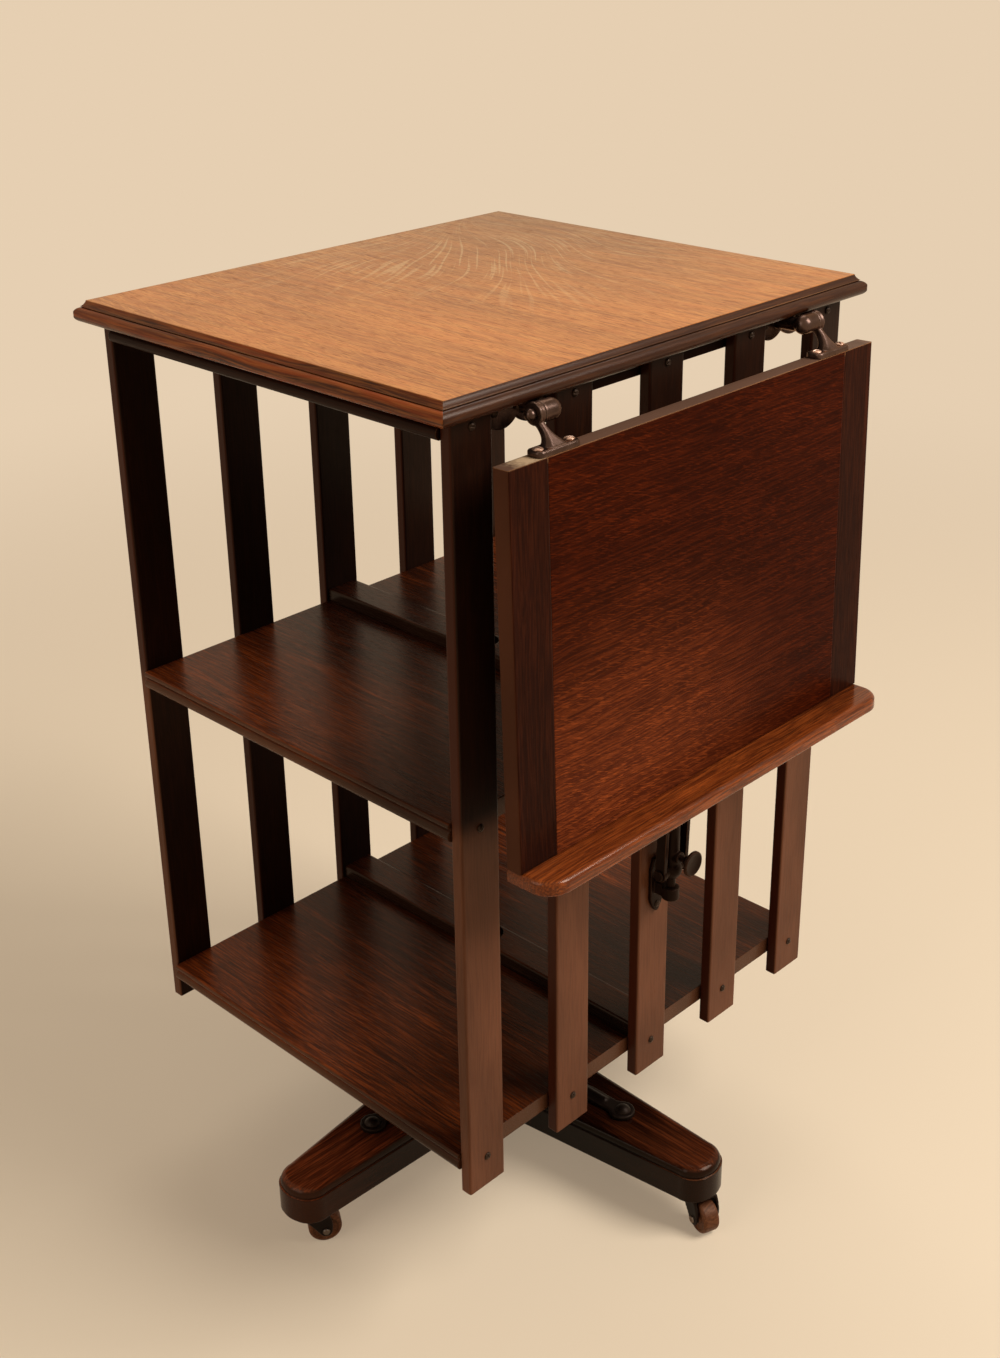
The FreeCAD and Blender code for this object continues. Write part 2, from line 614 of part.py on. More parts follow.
def make_hinge_bracket(side):
    """Fixed half of a hinge: scalloped flange on the sub-top's edge, stem and a domed boss for the pin."""
    middle = side * HINGE_GAP_MIDDLE
    low = SUB_TOP_Z - SHELF_THICK
    lobe = FLANGE_HALF / 2
    near, far = middle - FLANGE_HALF, middle + FLANGE_HALF
    scallops = [(near, TOP_UNDER_Z), (near, low + 1), ((middle - lobe, low - 6), (middle, low + 1)),
                ((middle + lobe, low - 6), (far, low + 1)), (far, TOP_UNDER_Z)]
    flange = outline(scallops, on_yz(SHELF_HALF_X)).extrude(V(FLANGE_THICK, 0, 0))
    plate = box((SHELF_HALF_X, near, TOP_UNDER_Z - FLANGE_THICK), (SLAT_OUTER_X, far, TOP_UNDER_Z))
    out = V(0, side, 0)
    dome = V(HINGE_X, side * DOME_Y, HINGE_Z)
    boss_long = KNUCKLE_Y - KNUCKLE_HALF - HINGE_GAP - DOME_Y
    boss = Part.makeSphere(HINGE_HEAD_R, dome).fuse(Part.makeCylinder(HINGE_HEAD_R, boss_long, dome, out))
    stem_foot = V(SHELF_HALF_X, side * DOME_Y, HINGE_Z - 1.0)
    stem = Part.makeCone(STEM_ROOT_R, STEM_TIP_R, HINGE_X - SHELF_HALF_X, stem_foot, X_AXIS)
    hole = Part.makeCylinder(HINGE_PIN_R, boss_long, dome, out)
    return flange.fuse(plate).fuse(stem).fuse(boss).removeSplitter().cut(hole)


def make_hinge_pin(side):
    """Hinge pin fixed in the bracket's boss, with a ball head outside the knuckle."""
    out = V(0, side, 0)
    start = V(HINGE_X, side * DOME_Y, HINGE_Z)
    length = KNUCKLE_Y + KNUCKLE_HALF + HINGE_GAP - DOME_Y
    pin = Part.makeCylinder(HINGE_PIN_R, length, start, out)
    shoulder = start + out * length
    ball = Part.makeSphere(HINGE_BALL_R, shoulder + out * (0.5 * HINGE_BALL_R))
    outside = Part.makeCylinder(2 * HINGE_BALL_R, 2 * HINGE_BALL_R, shoulder, out)
    return pin.fuse(ball.common(outside))


def make_slope_screws():
    """Screws through the hinge feet and the stay lugs into the reading board."""
    screws = []
    foot_x = BOARD_BACK_X + BOARD_THICK / 2
    for side in (-1, 1):
        for reach in (-FOOT_SCREW, FOOT_SCREW):
            seat = V(foot_x, side * HINGE_Y + reach, BOARD_TOP_Z + FOOT_THICK)
            screws.append(wood_screw(SCREW_FLAT_HIGH, SCREW_LENGTH, seat, Z_AXIS))
        for rise in (-LUG_SCREW_RISE, LUG_SCREW_RISE):
            seat = V(BOARD_BACK_X - LUG_THICK, side * LUG_SCREW_Y, stay_top_plumb().z + rise)
            screws.append(wood_screw(SCREW_FLAT_HIGH, 13.0, seat, V(-1, 0, 0)))
    return Part.makeCompound(screws)


def stay_top():
    """Upper pivot of the stay at rest, as far from the hinge as from the collar's trunnions."""
    lean = math.radians(SLOPE_LEAN)
    down = HINGE_Z - STAY_TOP_Z
    back = HINGE_X + (BOARD_BACK_X - HINGE_X) / math.cos(lean) + down * math.tan(lean)
    return V(back - STAY_BACK_GAP / math.cos(lean), 0, STAY_TOP_Z)


def stay_top_plumb():
    """Upper pivot of the stay with the reading board hanging plumb."""
    turn = FreeCAD.Rotation(V(0, -1, 0), -SLOPE_LEAN)
    return HINGE_POINT + turn.multVec(stay_top() - HINGE_POINT)


def make_stay_lugs():
    """Pair of lugs on the back of the panel that hold the stay's upper pin."""
    pivot = stay_top_plumb()
    lugs = []
    for side in (-1, 1):
        ys = sorted((side * LUG_INNER, side * LUG_OUTER))
        plate = box((BOARD_BACK_X - LUG_THICK, ys[0], pivot.z - LUG_HALF_HIGH),
                    (BOARD_BACK_X, ys[1], pivot.z + LUG_HALF_HIGH))
        outer = [e for e in plate.Edges if e.BoundBox.YLength < 1e-6 and e.BoundBox.ZLength < 1e-6
                 and abs(e.BoundBox.YMin - side * LUG_OUTER) < 1e-6]
        plate = plate.makeFillet(LUG_CORNER_R, outer)
        ear = Part.makeCylinder(LUG_EAR_R, LUG_EAR, V(pivot.x, side * LUG_INNER, pivot.z), V(0, side, 0))
        ys = sorted((side * LUG_INNER, side * (LUG_INNER + LUG_EAR)))
        web = box((pivot.x, ys[0], pivot.z - LUG_EAR_R), (BOARD_BACK_X, ys[1], pivot.z + LUG_EAR_R))
        ear = ear.fuse(web)
        start = V(pivot.x, side * (LUG_INNER - LUG_EAR), pivot.z)
        hole = Part.makeCylinder(STAY_PIN_R, 4 * LUG_EAR, start, V(0, side, 0))
        lugs.append(plate.fuse(ear).removeSplitter().cut(hole))
    return Part.makeCompound(lugs)


def make_stay_pin():
    """Upper pin of the stay, held in the two lugs."""
    pivot = stay_top_plumb()
    reach = LUG_INNER + LUG_EAR
    return Part.makeCylinder(STAY_PIN_R, 2 * reach, V(pivot.x, -reach, pivot.z), Y_AXIS)


def make_stay_bar(side):
    """Flat bar of the stay from the upper pin down to a trunnion of the collar."""
    top = stay_top()
    foot = V(HINGE_X, 0, COLLAR_Z)
    start = sorted((side * STAY_INNER, side * (STAY_INNER + STAY_THICK)))[0]
    run = top - foot
    across = V(run.z, 0, -run.x).normalize()
    wide = across * (STAY_TOP_R + 0.8)
    narrow = across * STAY_TOP_R
    corners = [foot + wide, top + narrow, top - narrow, foot - wide]
    bar = outline([(c.x, c.z) for c in corners], on_xz(start)).extrude(V(0, STAY_THICK, 0))
    for centre, radius in ((top, STAY_TOP_R), (foot, STAY_EYE_R)):
        bar = bar.fuse(Part.makeCylinder(radius, STAY_THICK, V(centre.x, start, centre.z), Y_AXIS))
    bar = bar.removeSplitter()
    for centre, radius in ((top, STAY_PIN_R), (foot, TRUNNION_R)):
        hole = Part.makeCylinder(radius + RUNNING_GAP, STAY_THICK, V(centre.x, start, centre.z), Y_AXIS)
        bar = bar.cut(hole)
    return bar


def make_stay_spacer():
    """Sleeve on the upper pin that keeps the two stay bars apart."""
    top = stay_top()
    start = V(top.x, -STAY_INNER, top.z)
    sleeve = Part.makeCylinder(STAY_PIN_R + 1.1, 2 * STAY_INNER, start, Y_AXIS)
    return sleeve.cut(Part.makeCylinder(STAY_PIN_R + RUNNING_GAP, 2 * STAY_INNER, start, Y_AXIS))


def make_stay_collar():
    """Sliding collar on the guide rod: barrel, ball, trunnions for the stay, boss for the thumbscrew."""
    axis = V(HINGE_X, 0, 0)
    centre = V(HINGE_X, 0, COLLAR_Z)
    collar = Part.makeCylinder(COLLAR_R, COLLAR_TOP_Z - COLLAR_Z, centre)
    collar = collar.fuse(Part.makeSphere(COLLAR_BALL_R, centre))
    bar_outer = STAY_INNER + STAY_THICK
    for side in (-1, 1):
        out = V(0, side, 0)
        collar = collar.fuse(Part.makeCylinder(TRUNNION_R + 2.2, STAY_INNER - 0.4, centre, out))
        collar = collar.fuse(Part.makeCylinder(TRUNNION_R, bar_outer + 2.6, centre, out))
        rivet = centre + out * (bar_outer + 0.6)
        collar = collar.fuse(Part.makeCylinder(TRUNNION_R + 2.0, 2.0, rivet, out))
    collar = collar.fuse(Part.makeCylinder(THUMB_STEM_R + 3.0, 10.5, axis + V(0, 0, THUMB_Z), X_AXIS))
    collar = collar.removeSplitter()
    collar = collar.cut(Part.makeCylinder(ROD_R + RUNNING_GAP, HEIGHT, axis))
    return collar.cut(Part.makeCylinder(THUMB_STEM_R + RUNNING_GAP, 40.0, axis + V(0, 0, THUMB_Z), X_AXIS))


def make_thumb_screw():
    """Thumbscrew that clamps the collar on the guide rod."""
    tip = ROD_R + 0.4
    disc = THUMB_DISC_X - HINGE_X
    neck = disc - 8.0
    face = disc + THUMB_DISC_THICK
    ease = 0.8
    dish = 0.9
    stem = [(tip, 0), (tip, THUMB_STEM_R), (neck, THUMB_STEM_R), (neck + 1.5, THUMB_STEM_R + 2.0),
            (disc, THUMB_STEM_R + 2.6)]
    rim = [(disc, THUMB_DISC_R - ease), (disc + ease, THUMB_DISC_R), (face - ease, THUMB_DISC_R),
           (face, THUMB_DISC_R - ease), (face - dish, THUMB_DISC_R - 3.5), (face - dish, 0)]
    screw = outline(stem + rim, on_xy(0)).revolve(ORIGIN, X_AXIS, 360)
    screw.translate(V(HINGE_X, 0, THUMB_Z))
    return screw


def make_guide_rod():
    """Upright rod on the middle slat that the collar slides along."""
    return Part.makeCylinder(ROD_R, ROD_TOP_Z - ROD_BOTTOM_Z, V(HINGE_X, 0, ROD_BOTTOM_Z))


def make_stay_bracket(eye_z, tip):
    """Spear-shaped plate on the middle slat with an eye for the guide rod; tip is -1 for a point below."""
    point_z = eye_z + tip * 27.0
    heel_z = eye_z - tip * 30.0
    shoulder_z = eye_z + tip * 12.0
    waist_z = eye_z - tip * 20.0
    narrow = 0.62 * PLATE_HALF
    spear = [(narrow, heel_z), (PLATE_HALF, waist_z), (PLATE_HALF, shoulder_z),
             ((narrow, eye_z + tip * 21.0), (1.2, point_z))]
    plate = outline(both_sides(spear), on_yz(SLAT_OUTER_X)).extrude(V(PLATE_THICK, 0, 0))
    ring = Part.makeCylinder(EYE_R, 2 * EYE_HALF, V(HINGE_X, 0, eye_z - EYE_HALF))
    web = box((SLAT_OUTER_X, -EYE_R * 0.6, eye_z - EYE_HALF), (HINGE_X, EYE_R * 0.6, eye_z + EYE_HALF))
    bore = Part.makeCylinder(ROD_R, HEIGHT, V(HINGE_X, 0, 0))
    return plate.fuse(web).fuse(ring).removeSplitter().cut(bore)


def make_iron_screws():
    """Screws that hold the hinge brackets and the stay brackets to the case."""
    screws = []
    for side in (-1, 1):
        for reach in (-FLANGE_SCREW, FLANGE_SCREW):
            y = side * HINGE_GAP_MIDDLE + reach
            seat = V(SHELF_HALF_X + FLANGE_THICK, y, SUB_TOP_Z - SHELF_THICK / 2)
            screws.append(wood_screw(SCREW_HEAD_HIGH, SCREW_LENGTH, seat, X_AXIS))
    for eye_z, tip in ((LOWER_EYE_Z, -1), (UPPER_EYE_Z, 1)):
        for rise in (tip * 19.5, -tip * 22.0):
            seat = V(SLAT_OUTER_X + PLATE_THICK, 0, eye_z + rise)
            screws.append(wood_screw(SCREW_FLAT_HIGH, 14.0, seat, X_AXIS))
    return Part.makeCompound(screws)


def all_pieces():
    """Every piece by its name, in its resting place."""
    pieces = {"top_board": make_top_board()}
    for name, top in SHELF_TOPS.items():
        pieces[name] = make_shelf(top, name != "sub_top")
    for index in range(SLAT_COUNT):
        pieces["slat_right_%d" % (index + 1)] = make_slat(1, index)
        pieces["slat_left_%d" % (index + 1)] = make_slat(-1, index)
    pieces["slat_screws"] = make_slat_screws()
    pieces["book_stop_middle"] = make_book_stop(MIDDLE_SHELF_Z)
    pieces["book_stop_bottom"] = make_book_stop(BOTTOM_SHELF_Z)
    pieces["bottom_bush"] = make_bottom_bush()
    pieces["pivot_cup"] = make_pivot_cup()
    pieces["spindle"] = make_spindle()
    board_x, board_y = make_base_boards()
    pieces["base_board_x"] = turn_base(board_x)
    pieces["base_board_y"] = turn_base(board_y)
    pieces["spider"] = turn_base(make_spider())
    pieces["spider_bolts"] = turn_base(make_spider_bolts())
    pieces["castor_sockets"] = turn_base(make_castor_sockets())
    for index in range(ARM_COUNT):
        number = index + 1
        pieces["castor_horn_%d" % number] = place_castor(make_castor_horn(), index)
        pieces["castor_axle_%d" % number] = place_castor(make_castor_axle(), index)
        pieces["castor_wheel_%d" % number] = place_castor(make_castor_wheel(), index)
    for name, side in (("near", -1), ("far", 1)):
        pieces["hinge_bracket_" + name] = make_hinge_bracket(side)
        pieces["hinge_pin_" + name] = make_hinge_pin(side)
        pieces["hinge_arm_" + name] = hang(make_hinge_arm(side))
        pieces["slope_cleat_" + name] = hang(make_slope_cleat(side))
        pieces["stay_bar_" + name] = make_stay_bar(side)
    pieces["slope_panel"] = hang(make_slope_panel())
    pieces["book_ledge"] = hang(make_book_ledge())
    pieces["slope_screws"] = hang(make_slope_screws())
    pieces["stay_lugs"] = hang(make_stay_lugs())
    pieces["stay_pin"] = hang(make_stay_pin())
    pieces["stay_spacer"] = make_stay_spacer()
    pieces["stay_collar"] = make_stay_collar()
    pieces["thumb_screw"] = make_thumb_screw()
    pieces["guide_rod"] = make_guide_rod()
    pieces["stay_bracket_lower"] = make_stay_bracket(LOWER_EYE_Z, -1)
    pieces["stay_bracket_upper"] = make_stay_bracket(UPPER_EYE_Z, 1)
    pieces["iron_screws"] = make_iron_screws()
    return pieces


def main():
    """Writes every piece to its own file."""
    os.makedirs("parts", exist_ok=True)
    for name, shape in all_pieces().items():
        shape.exportStep("parts/%s.step" % name)


main()
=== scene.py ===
"""Revolving oak bookcase: wood and metal finishes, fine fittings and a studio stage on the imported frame."""
import json
import math
from typing import NamedTuple

import bmesh
import bpy
from mathutils import Matrix, Vector


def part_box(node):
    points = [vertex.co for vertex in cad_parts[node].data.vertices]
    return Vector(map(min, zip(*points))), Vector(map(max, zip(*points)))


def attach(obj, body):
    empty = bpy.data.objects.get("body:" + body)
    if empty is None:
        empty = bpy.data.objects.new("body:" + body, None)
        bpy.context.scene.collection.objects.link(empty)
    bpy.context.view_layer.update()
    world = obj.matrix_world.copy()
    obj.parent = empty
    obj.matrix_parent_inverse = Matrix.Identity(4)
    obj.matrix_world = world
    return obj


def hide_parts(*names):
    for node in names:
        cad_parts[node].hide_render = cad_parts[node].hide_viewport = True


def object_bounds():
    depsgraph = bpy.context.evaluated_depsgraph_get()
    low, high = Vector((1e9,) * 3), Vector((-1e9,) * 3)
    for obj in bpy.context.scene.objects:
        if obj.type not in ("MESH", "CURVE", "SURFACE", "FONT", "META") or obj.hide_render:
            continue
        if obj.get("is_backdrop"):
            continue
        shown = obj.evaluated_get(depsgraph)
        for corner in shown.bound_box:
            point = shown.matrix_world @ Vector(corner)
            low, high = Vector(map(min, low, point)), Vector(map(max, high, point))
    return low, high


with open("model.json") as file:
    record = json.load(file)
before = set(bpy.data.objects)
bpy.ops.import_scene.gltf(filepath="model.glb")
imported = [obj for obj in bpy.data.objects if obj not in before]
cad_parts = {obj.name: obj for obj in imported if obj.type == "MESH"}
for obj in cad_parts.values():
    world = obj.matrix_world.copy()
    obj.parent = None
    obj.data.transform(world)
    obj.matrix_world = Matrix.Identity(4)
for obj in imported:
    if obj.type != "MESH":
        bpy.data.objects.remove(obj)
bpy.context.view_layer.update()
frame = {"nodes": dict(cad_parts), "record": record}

bl_info = {
    "name": "Revolving Bookcase",
    "version": (1, 0, 0),
    "blender": (4, 5, 0),
    "location": "View3D > Sidebar > Bookcase",
    "description": "Finishes a slatted revolving bookcase with a reading slope",
    "category": "Object",
}

MM = 0.001
NODES = frame["nodes"]
BODY_OF = {node: body for body, nodes in frame["record"]["behaviour"]["bodies"].items() for node in nodes}
SMOOTH = {"interpolation_type": "SMOOTHSTEP"}
# Points of a mesh that lie this near each other are one point
WELD = 0.01 * MM


def linear(code):
    """Linear colour of an sRGB hex value."""
    parts = [int(code[i:i + 2], 16) / 255 for i in (1, 3, 5)]
    return tuple(p / 12.92 if p <= 0.04045 else ((p + 0.055) / 1.055) ** 2.4 for p in parts)


def colour(name, description, code):
    """Colour property with its default from an sRGB hex value."""
    return bpy.props.FloatVectorProperty(name=name, description=description, subtype="COLOR", size=3, min=0, max=1,
                                         default=linear(code))


def gain(name, description, default):
    """Property that multiplies the red, green and blue of a stain."""
    return bpy.props.FloatVectorProperty(name=name, description=description, size=3, min=0, default=default)


def length(name, description, millimetres):
    """Length property with its default in millimetres."""
    return bpy.props.FloatProperty(name=name, description=description, subtype="DISTANCE", unit="LENGTH", min=0,
                                   default=millimetres * MM)


class BookcaseWood(bpy.types.PropertyGroup):
    """Stains of the oak boards."""
    top_pale: colour("Top, pale", "Sun-faded oak of the flat top, early wood", "#CE8A46")
    top_mid: colour("Top, middle", "Body colour of the flat top", "#B96C31")
    top_deep: colour("Top, deep", "Late wood and pores of the flat top", "#7C431B")
    top_ray: colour("Top, rays", "Pale rays fanned over the back half of the top", "#D6A66E")
    # Painted shade: the back of the top is painted darker and greyer, with its dull reflection
    top_back_shade: gain("Top, back", "Greyer oak round the heart of the fan of rays", (0.54, 0.63, 0.78))
    # Painted light and shade: the moulding's front and back are painted lighter, its X sides darker
    edge_front_lit: colour("Moulding, middle", "Unfaded stain on the top's moulded front and back", "#88380F")
    edge_side_shade: colour("Moulding, sides", "Stain on the top's moulded sides", "#2E150B")
    edge_deep: colour("Moulding, deep", "Late wood of the moulded edge", "#2E1409")
    case_pale: colour("Case, pale", "Early wood of the shelves and stops", "#A04A1C")
    case_mid: colour("Case, middle", "Body colour of the shelves and stops", "#5A2710")
    case_deep: colour("Case, deep", "Late wood and pores of the shelves and stops", "#1C0A04")
    case_edge: colour("Case, edges", "Dull upright edges of the shelves and stops", "#4A2C1B")
    slat_pale: colour("Slats, pale", "Early wood of the slats and the sub-top", "#381B0D")
    slat_mid: colour("Slats, middle", "Body colour of the slats and the sub-top", "#1F0E07")
    slat_deep: colour("Slats, deep", "Late wood and pores of the slats and the sub-top", "#110704")
    slat_flank: colour("Slats, edges", "Redder narrow edges of the slats", "#3A180B")
    # Painted light on the slats' outward faces, partly real fading, with the slope's painted shadow left dark
    slat_lit_faded: colour("Slats, faded", "Outer faces of the slats, faded and dulled by light", "#623B27")
    slat_lit_faded_deep: colour("Slats, faded late wood", "Late wood of the faded faces", "#3A1B0E")
    slope_pale: colour("Slope, pale", "Early wood of the reading panel", "#662408")
    slope_mid: colour("Slope, middle", "Body colour of the reading panel", "#2A0902")
    slope_deep: colour("Slope, deep", "Late wood and pores of the reading panel", "#130401")
    # Painted light: a broad glow over the lower part of the reading panel
    slope_glow: gain("Slope, thinned", "Stain rubbed thin by hands along the lower part", (4.5, 7.0, 10.0))
    cleat_pale: colour("Cleats, pale", "Early wood of the panel's end cleats", "#582712")
    cleat_mid: colour("Cleats, middle", "Body colour of the end cleats", "#260D06")
    cleat_deep: colour("Cleats, deep", "Late wood and pores of the end cleats", "#140502")
    slope_flank: colour("Slope, flanks", "Dulled outer edges of the cleats", "#4C2B1B")
    slope_top: colour("Slope, upper edge", "Dusty upper edge of the panel and the cleats", "#5E4334")
    ledge_pale: colour("Ledge, pale", "Early wood of the book ledge", "#A8521E")
    ledge_mid: colour("Ledge, middle", "Body colour of the book ledge", "#62290D")
    ledge_deep: colour("Ledge, deep", "Late wood and pores of the book ledge", "#1C0A04")
    base_pale: colour("Base, pale", "Early wood of the base boards", "#843F1F")
    base_mid: colour("Base, middle", "Body colour of the base boards", "#451F0F")
    base_deep: colour("Base, deep", "Late wood and pores of the base boards", "#1A0A05")
    base_edge: colour("Base, edges", "Dark sides of the base boards", "#1E0C05")
    wheel_pale: colour("Castor wheel, pale", "Early wood of the turned wheels", "#7E4E30")
    wheel_mid: colour("Castor wheel, middle", "Body colour of the turned wheels", "#5C321B")
    wheel_deep: colour("Castor wheel, deep", "Late wood of the turned wheels", "#331A0D")
    polish: colour("Polish", "Warm cast that old shellac gives to the sheen", "#FFE6CF")
    worn: colour("Rubbed arris", "Stain rubbed thin along the arrises", "#9A6A44")
    bare_wood: colour("Bare oak", "Worn corner of the reading panel", "#C2A27C")
    pore_length: length("Pore length", "Length of an open pore along the grain", 14)
    pore_width: length("Pore width", "Width of an open pore as drawn", 0.8)


class BookcaseMetal(bpy.types.PropertyGroup):
    """Finishes and small sizes of the metal fittings."""
    bronze: colour("Bronzed iron", "Grey-brown bronzing on the hinges", "#4C3A32")
    bronze_worn: colour("Bronzed iron, worn", "Bare iron on rubbed edges", "#CDB2A2")
    browned: colour("Browned iron", "Dark browning on the stay, its rod and its thumbscrew", "#1A0E08")
    browned_worn: colour("Browned iron, worn", "Rubbed edges of the browned iron", "#6A4632")
    japan: colour("Japanned iron", "Black japan on the spider, its bolts and the castor horns", "#110A07")
    japan_worn: colour("Japanned iron, worn", "Rubbed edges of the black japan", "#4A3426")
    steel: colour("Worn steel", "Dull steel of the spindle, the axles and the stay's pin", "#6A5F57")
    screw: colour("Blued screws", "Dark blued steel of the round-head screws", "#2E231B")
    bright_screw: colour("Bright screws", "Worn bronze heads of the screws in the hinge feet", "#C09A82")
    oil: colour("Old oil", "Brown cast that dried oil gives to the sheen of the metal", "#FFDCC4")
    screw_slot: length("Screw slot", "Width of the slot across a screw head", 0.9)
    knurl_depth: length("Knurl depth", "Depth of the notches round the thumbscrew", 0.5)
    knurl_count: bpy.props.IntProperty(name="Knurls", description="Notches round the thumbscrew", default=44, min=8)


class BookcaseStage(bpy.types.PropertyGroup):
    """Camera, light and floor."""
    camera_place: bpy.props.FloatVectorProperty(name="Camera", description="Place of the lens", subtype="TRANSLATION",
                                                unit="LENGTH", size=3, default=(1.0859, -1.0783, 1.2597))
    camera_yaw: bpy.props.FloatProperty(name="Yaw", description="Turn of the view to the left of +Y", subtype="ANGLE",
                                        default=math.radians(44.58))
    camera_pitch: bpy.props.FloatProperty(name="Pitch", description="Downward tilt of the view", subtype="ANGLE",
                                          default=math.radians(23.79))
    camera_roll: bpy.props.FloatProperty(name="Roll", description="Lean of the view", subtype="ANGLE",
                                         default=math.radians(-0.89))
    camera_lens: bpy.props.FloatProperty(name="Lens", description="Focal length in millimetres on a 36 mm wide frame",
                                         default=63.14)
    camera_shift: bpy.props.FloatProperty(name="Shift", description="Downward shift of the frame, in frame widths",
                                          default=-0.071)
    floor_colour: colour("Floor", "Plain pale floor", "#EBD5B6")
    background: colour("Background", "Plain pale surroundings", "#E6CFB2")
    floor_sweep: length("Floor sweep", "Distance from the spindle at which the floor has run into the background",
                        2800)


class Moulding(NamedTuple):
    """Stain of a moulded edge: its front and back, painted lighter, its X sides, painted darker as shade, its late
    wood, and the board's upper corner.
    """
    front: tuple
    side: tuple
    deep: tuple
    corner: Vector


class LitFading(NamedTuple):
    """Painted light on the slats' outward faces, partly sun fading: body, late wood, the outermost slat's corner, and
    the slope's lower end, above which the slope's shadow is painted.
    """
    stain: tuple
    deep: tuple
    corner: tuple
    shade_z: float


class PaintedPatch(NamedTuple):
    """Painted light and shade as a gain on the stain in a broad patch, its centre and reach, and the share of the
    offset along each axis.
    """
    gain: tuple
    centre: tuple
    reach: float
    flatten: tuple = (1, 1, 1)


class OpenEnds(NamedTuple):
    """Stain of a board's upright faces, and the axis, end, depth and inner level of the painted light that comes in,
    with painted shade inside.
    """
    stain: tuple
    axis: str
    end: float
    depth: float
    kept: float


class Shade(NamedTuple):
    """Painted shade: places along X where the stain starts to darken and is darkest, and the level kept there."""
    start_mm: float
    end_mm: float
    kept: float


class OakFinish(NamedTuple):
    """How boards of one kind were sawn, stained, polished and worn."""
    # Pale early wood, body colour, deep late wood
    tones: tuple
    # Axes along the fibres, across the board and through it
    grain: str
    # Width of the boards glued side by side, and the place of one joint
    board_mm: float
    first_mm: float = 0.0
    # Strength of the streaks and of the ray flecks, a fleck's length and width, and the heart of a fan of rays
    streaks: float = 1.0
    rays: float = 0.0
    fleck_mm: tuple = (15, 1.8)
    fan: tuple = None
    roughness: float = 0.36
    gloss: float = 0.25
    # Darkest and lightest level of the cloudy stain; on the base boards it also paints light and shade
    cloud: tuple = (0.78, 1.14)
    edge: Moulding = None
    # Pairs of an axis and the stain of the faces that look along it
    flank: tuple = ()
    # Painted light on the slats' outward faces, partly fading, with the reading slope's painted shadow
    faded: LitFading = None
    # Broad patch of painted light, as on the slope, or of painted shade, as on the top
    thin: PaintedPatch = None
    # Painted light at a board's open ends and painted shade inside it
    inner: OpenEnds = None
    shade: Shade = None
    # How far the arrises are rubbed, and the height near which they are, if not everywhere
    wear: float = 0.55
    wear_z: float = None
    # Middle of a patch worn to bare wood
    bare: tuple = None


def add(tree, kind, settings=None, links=None):
    """Adds a shader node, sets its properties and input values, and links its inputs."""
    node = tree.nodes.new("ShaderNode" + kind)
    for key, value in (settings or {}).items():
        if isinstance(key, int) or key in node.inputs:
            node.inputs[key].default_value = value
        else:
            setattr(node, key, value)
    for key, socket in (links or {}).items():
        tree.links.new(socket, node.inputs[key])
    return node


def blank_material(name):
    """New node material without any nodes yet, and the tree to fill."""
    material = bpy.data.materials.new(name)
    material.use_nodes = True
    material.node_tree.nodes.clear()
    return material, material.node_tree


def rgba(value):
    """Colour property as a shader colour."""
    return tuple(value) + (1.0,)


def blend(tree, share, low, high):
    """Colour between two, each a colour value or a socket, by a share."""
    node = add(tree, "Mix", {"data_type": "RGBA"}, {0: share})
    for slot, value in ((6, low), (7, high)):
        if isinstance(value, bpy.types.NodeSocket):
            tree.links.new(value, node.inputs[slot])
        else:
            node.inputs[slot].default_value = rgba(value)
    return node.outputs[2]


def mitred(tree, axes, corner):
    """Mask of the mouldings on the X sides below a corner's top, where the fibres run along Y up to the mitres and
    the painted shade of the sides lies.
    """
    lip_mm = 0.3
    size = [add(tree, "Math", {"operation": "ABSOLUTE"}, {0: axes.outputs[axis]}).outputs[0] for axis in "XY"]
    lead = add(tree, "Math", {"operation": "SUBTRACT"}, {0: size[0], 1: size[1]})
    side = add(tree, "Math", {"operation": "GREATER_THAN", 1: (corner.x - corner.y) / MM}, {0: lead.outputs[0]})
    below = add(tree, "Math", {"operation": "LESS_THAN", 1: corner.z / MM - lip_mm}, {0: axes.outputs["Z"]})
    return add(tree, "Math", {"operation": "MULTIPLY"}, {0: side.outputs[0], 1: below.outputs[0]}).outputs[0]


